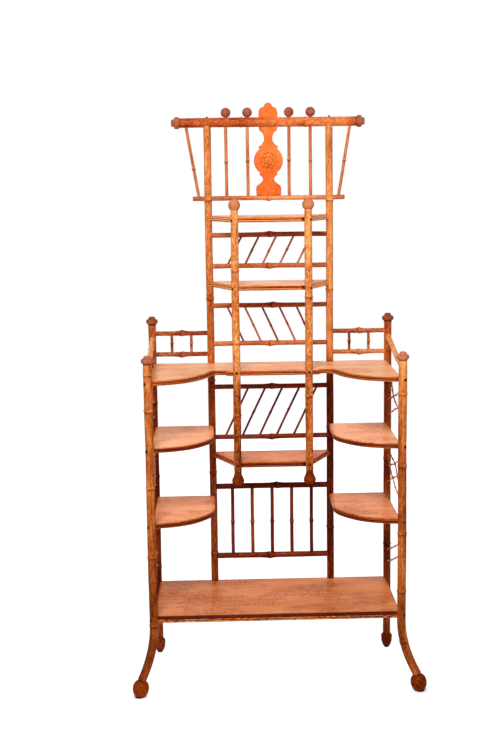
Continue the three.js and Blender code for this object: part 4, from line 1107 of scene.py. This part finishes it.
# Lattice rods between a shelf and the one above: height on the back post and on the front post,
# as shares of the way up
RODS = {
    "upper": ("middle_wing_shelf", "main_shelf", ((0.4, 0.87), (0.13, 0.62), (1.04, 0.32))),
    "middle": ("lower_wing_shelf", "middle_wing_shelf",
               ((0.61, 0.17), (0.78, 0.29), (0.4, 0.86), (0.16, 0.63))),
    "lower_front": ("bottom_shelf", "lower_wing_shelf", ((0.34, 0.8),)),
    "lower_back": ("bottom_shelf", "lower_wing_shelf", ((0.19, 0.66),)),
}


def cane(s, back, fore, number):
    """Rod between the posts of one side. It bows by a cubed sine, up or down by turns, and is
    kinked by two and a half waves that fade at both ends, more upward than outward."""
    t = np.linspace(0, 1, 30)[:, None]
    start, end = at(s * SIDE_X, 0, back), at(s * SIDE_X, FRONT_DEPTH, fore)
    bow = (0.008 * (1 if number % 2 else -1) * np.sin(math.pi * t) ** 2
           + 0.0016 * np.sin(5 * math.pi * t + number))
    aside = 0.6 * UP + 0.5 * s * RIGHT
    return bent(start + (end - start) * t + bow * np.sin(math.pi * t) * aside)


class ETAGERE_OT_sides(bpy.types.Operator):
    """Make the sagging side arms and the knotty cane lattice"""

    bl_idname = "etagere.sides"
    bl_label = "Sides"

    def execute(self, context):
        sizes = context.scene.etagere_rails
        for side, s in SIDES:
            start = at(s * SIDE_X, 0, BACK_TOP - 0.0403)
            end = at(s * SIDE_X, FRONT_DEPTH, FRONT_TOP - 0.0183)
            t = np.linspace(0, 1, 50)[:, None]
            low = (start + end) / 2 - ARM_SAG * UP
            path = bent((1 - t) ** 2 * start + 2 * t * (1 - t) * low + t ** 2 * end)
            skin = culm(Skin(), path, sizes.arm_radius, ARM_RINGS[side], *ARM_JOINT, 0.26,
                        361 + s, side=RIGHT, bud=(0.4, -2.4))
            skin.piece(f"arm_{side}", "scorched culm", f"side_arm_{side}")
            for label, (below, above, shares) in RODS.items():
                low = SHELF_TOPS[below if below in SHELF_TOPS else f"{below}_{side}"]
                high = SHELF_FEET[above if above in SHELF_FEET else f"{above}_{side}"]
                skin = Skin()
                for number, (back, fore) in enumerate(shares):
                    rod = cane(s, low + back * (high - low), low + fore * (high - low), number)
                    culm(skin, rod, sizes.cane_radius, CANE_RINGS, *CANE_JOINT, 0.47,
                         371 + 7 * number + s, side=RIGHT, bud=(0.5, -2.0, 2.6, -0.6, 1.4),
                         wander=0.0006, step=0.01)
                skin.piece(f"lattice_{label}_{side}", "lattice cane",
                           f"side_lattice_{label}_{side}")
        return {"FINISHED"}


# Fasteners

PROUD = 0.0002  # how far a screw head's seat stands off the culm
NAIL = ((0.0026, -0.004), (0.0026, 0.0015), (0.0032, 0.0024), (0.0024, 0.0040), (0, 0.0046))
WING_AIM = {-1: np.array([-0.70, -0.71, 0.0]), 1: np.array([0.52, -0.85, 0.0])}
BAY_AIM = {-1: unit([-0.75, -0.66, 0.0]), 1: unit([0.62, -0.78, 0.0])}


def screw(skin, post, height, reach, aim, radius):
    """Round screw head on a post, as far from its axis as the reach and turned to the aim: a low
    dome over a disc grid of radius and angle, sunk along a straight slot."""
    direction = unit(aim)
    across = unit(np.cross(direction, [0.3, 0.2, 0.93]))
    third = np.cross(direction, across)
    share = np.concatenate([[1.0, 1.0], np.linspace(0.94, 0.04, 9)])[:, None]
    x, y = share * np.cos(turns(28)), share * np.sin(turns(28))
    slot = 0.0007 * np.clip((0.2 - np.abs(x)) / 0.08, 0, 1) * (share < 0.97)
    dome = 0.0011 * np.sqrt(np.clip(1 - 0.86 * share ** 2, 0, 1)) - slot
    dome[0] = -0.0012
    points = (at(*post, height) + reach * aim + radius * (x[..., None] * across
              + y[..., None] * third) + dome[..., None] * direction)
    skin.grid(points, points)


class ETAGERE_OT_fasteners(bpy.types.Operator):
    """Make the screw heads in the posts and the nail heads on the crest rail"""

    bl_idname = "etagere.fasteners"
    bl_label = "Fasteners"

    def execute(self, context):
        culms = context.scene.etagere_culms
        front_reach, hanging_reach = culms.front_radius + PROUD, culms.hanging_radius + PROUD
        centres = {node: (SHELF_TOPS[node] + SHELF_FEET[node]) / 2 for node in SHELF_TOPS}
        skin = Skin()
        for side, s in SIDES:
            front, hanging = (s * SIDE_X, FRONT_DEPTH), (s * HANGING_X, HANGING_DEPTH)
            for node in ("main_shelf", f"middle_wing_shelf_{side}", f"lower_wing_shelf_{side}",
                         "bottom_shelf"):
                screw(skin, front, centres[node], front_reach, WING_AIM[s], 0.0044)
            for node in ("main_shelf", "lower_bay_shelf"):
                screw(skin, hanging, centres[node], hanging_reach, FRONT, 0.0041)
            for node in ("upper_bay_shelf", "middle_bay_shelf"):
                screw(skin, hanging, SHELF_FEET[node] + 0.006, hanging_reach, BAY_AIM[s], 0.0032)
        screw(skin, (SIDE_X, 0), SHELF_TOPS["main_shelf"] - 0.084, culms.back_radius + 0.0006,
              FRONT, 0.0026)
        skin.piece("screw_heads", "screw steel")
        skin = Skin()
        for side, s in SIDES:
            turned(skin, NAIL, at(s * CENTRE_X, 0, CREST_HEIGHT + 0.0135), UP, 0.9, 381 + s,
                   sides=16)
        skin.piece("crest_nail_heads", "turned wood")
        return {"FINISHED"}


# Stage

CAMERA_PLACE = (-0.163, -3.7285, 1.5032)
CAMERA_TURN = (1.545, 9.15, -0.75)  # degrees to the right, down and round the view
FLOOR_HALF = 9.0


def floor_finish(colour):
    """White floor: seen by the camera or in a reflection it adds a plain white glow to its own
    shading, so that only a shadow shows on it; to the object it is a pale matt floor. The glow
    gives way to the shading round each front foot, where the shadow of its contact lies."""
    f = Nodes(bpy.data.materials.new("studio floor"))
    x = f.add("ShaderNodeSeparateXYZ", {}, {"Vector": f.place()}, "X")
    feet = ((s, leg_path(s)[1][0]) for side, s in SIDES)
    spans = (((x - float(foot[0] + s * 0.007)) ** 2
              + (x.also("Y") - float(foot[1] - 0.005)) ** 2) ** 0.5 for s, foot in feet)
    near = sum(span.falling(0.012, 0.034) for span in spans)
    matt, plain, contact = (f.add("ShaderNodeBsdfDiffuse", {}, {"Color": (*shade, 1.0)})
                            for shade in (colour, [0.34] * 3, [0.92] * 3))
    bright, faint = (f.add("ShaderNodeEmission", {}, {"Color": WHITE, "Strength": strength})
                     for strength in (0.935, 0.075))
    both = f.add("ShaderNodeAddShader", {}, {0: f.mixed(near, plain, contact),
                                             1: f.mixed(near, bright, faint)})
    shader = f.mixed(f.plain_ray(), matt, both)
    f.add("ShaderNodeOutputMaterial", {}, {"Surface": shader})
    return f.owner


def white_surround(strength):
    """World that lights the object evenly and is plain white where it is seen or mirrored."""
    f = Nodes(bpy.data.worlds.new("white surround"))
    soft, white = (f.add("ShaderNodeBackground", {}, {"Color": WHITE, "Strength": level})
                   for level in (strength, 1.0))
    f.add("ShaderNodeOutputWorld", {}, {"Surface": f.mixed(f.plain_ray(), soft, white)})
    return f.owner


def turned_to(place, across, upward, back):
    """Matrix of a thing at a place, by its own right, up and backward directions."""
    turn = Matrix(np.stack([across, upward, back], axis=1).tolist()).to_4x4()
    return Matrix.Translation(place) @ turn


def lamp(name, place, aim, size, energy, glossy=True):
    """Area lamp at a place, its face turned to the aim. One that isn't glossy leaves no gloss."""
    data = bpy.data.lights.new(name, "AREA")
    data.shape = "RECTANGLE"
    data.size, data.size_y = size
    data.energy = energy
    thing = bpy.data.objects.new(name, data)
    away = unit(np.subtract(place, aim))
    across = unit(np.cross(UP, away))
    thing.matrix_world = turned_to(place, across, np.cross(away, across), away)
    thing.visible_glossy = glossy
    bpy.context.scene.collection.objects.link(thing)


class ETAGERE_OT_stage(bpy.types.Operator):
    """Make the floor, the lamps, the surround and the camera"""

    bl_idname = "etagere.stage"
    bl_label = "Stage"

    def execute(self, context):
        scene = context.scene
        sizes = scene.etagere_stage
        mesh = bpy.data.meshes.new("studio_floor")
        corners = [(x * FLOOR_HALF, y * FLOOR_HALF, 0)
                   for x, y in ((-1, -1), (1, -1), (1, 1), (-1, 1))]
        mesh.from_pydata(corners, [], [(0, 1, 2, 3)])
        mesh.materials.append(floor_finish(tuple(sizes.floor)))
        ground = bpy.data.objects.new("studio_floor", mesh)
        scene.collection.objects.link(ground)
        scene.world = white_surround(sizes.surround)

        lamp("key_lamp", (-0.7, -3.0, 3.4), (0, 0, 1.0), (1.8, 1.4), sizes.key)
        lamp("fill_lamp", (2.6, -2.6, 1.9), (0, 0, 0.9), (1.8, 1.8), sizes.fill)
        lamp("back_lamp", (0.5, 3.4, 1.3), (0, 0, 0.9), (2.2, 2.0), sizes.back, glossy=False)

        data = bpy.data.cameras.new("camera")
        data.lens = sizes.lens
        data.sensor_width = 36.0
        camera = bpy.data.objects.new("camera", data)
        yaw, pitch, roll = np.radians(CAMERA_TURN)
        right = np.array([math.cos(yaw), -math.sin(yaw), 0.0])
        ahead = np.array([math.sin(yaw) * math.cos(pitch), math.cos(yaw) * math.cos(pitch),
                          -math.sin(pitch)])
        upward = np.cross(right, ahead)
        camera.matrix_world = turned_to(
            CAMERA_PLACE, math.cos(roll) * right + math.sin(roll) * upward,
            math.cos(roll) * upward - math.sin(roll) * right, -ahead)
        scene.collection.objects.link(camera)
        scene.camera = camera
        scene.view_settings.view_transform = "Standard"
        return {"FINISHED"}


class ETAGERE_PT_panel(bpy.types.Panel):
    """Lists the pieces of the etagere"""

    bl_label = "Etagere"
    bl_idname = "ETAGERE_PT_panel"
    bl_space_type = "VIEW_3D"
    bl_region_type = "UI"
    bl_category = "Etagere"

    def draw(self, context):
        for operator in OPERATORS:
            self.layout.operator(operator.bl_idname)
        for group in GROUPS:
            sizes = getattr(context.scene, group)
            box = self.layout.box()
            for name in type(sizes).__annotations__:
                box.prop(sizes, name)


OPERATORS = (ETAGERE_OT_posts, ETAGERE_OT_galleries, ETAGERE_OT_crest, ETAGERE_OT_splat,
             ETAGERE_OT_turnings, ETAGERE_OT_shelves, ETAGERE_OT_sides, ETAGERE_OT_fasteners,
             ETAGERE_OT_stage)
GROUPS = {"etagere_culms": CulmSizes, "etagere_rails": RailSizes, "etagere_stage": StageSizes}
CLASSES = (*GROUPS.values(), *OPERATORS, ETAGERE_PT_panel)


def register():
    for kind in CLASSES:
        bpy.utils.register_class(kind)
    for group, kind in GROUPS.items():
        setattr(bpy.types.Scene, group, PointerProperty(type=kind))


def unregister():
    for group in GROUPS:
        delattr(bpy.types.Scene, group)
    for kind in reversed(CLASSES):
        bpy.utils.unregister_class(kind)


def main():
    register()
    for operator in OPERATORS:
        group, name = operator.bl_idname.split(".")
        getattr(getattr(bpy.ops, group), name)()


if __name__ == "__main__":
    main()
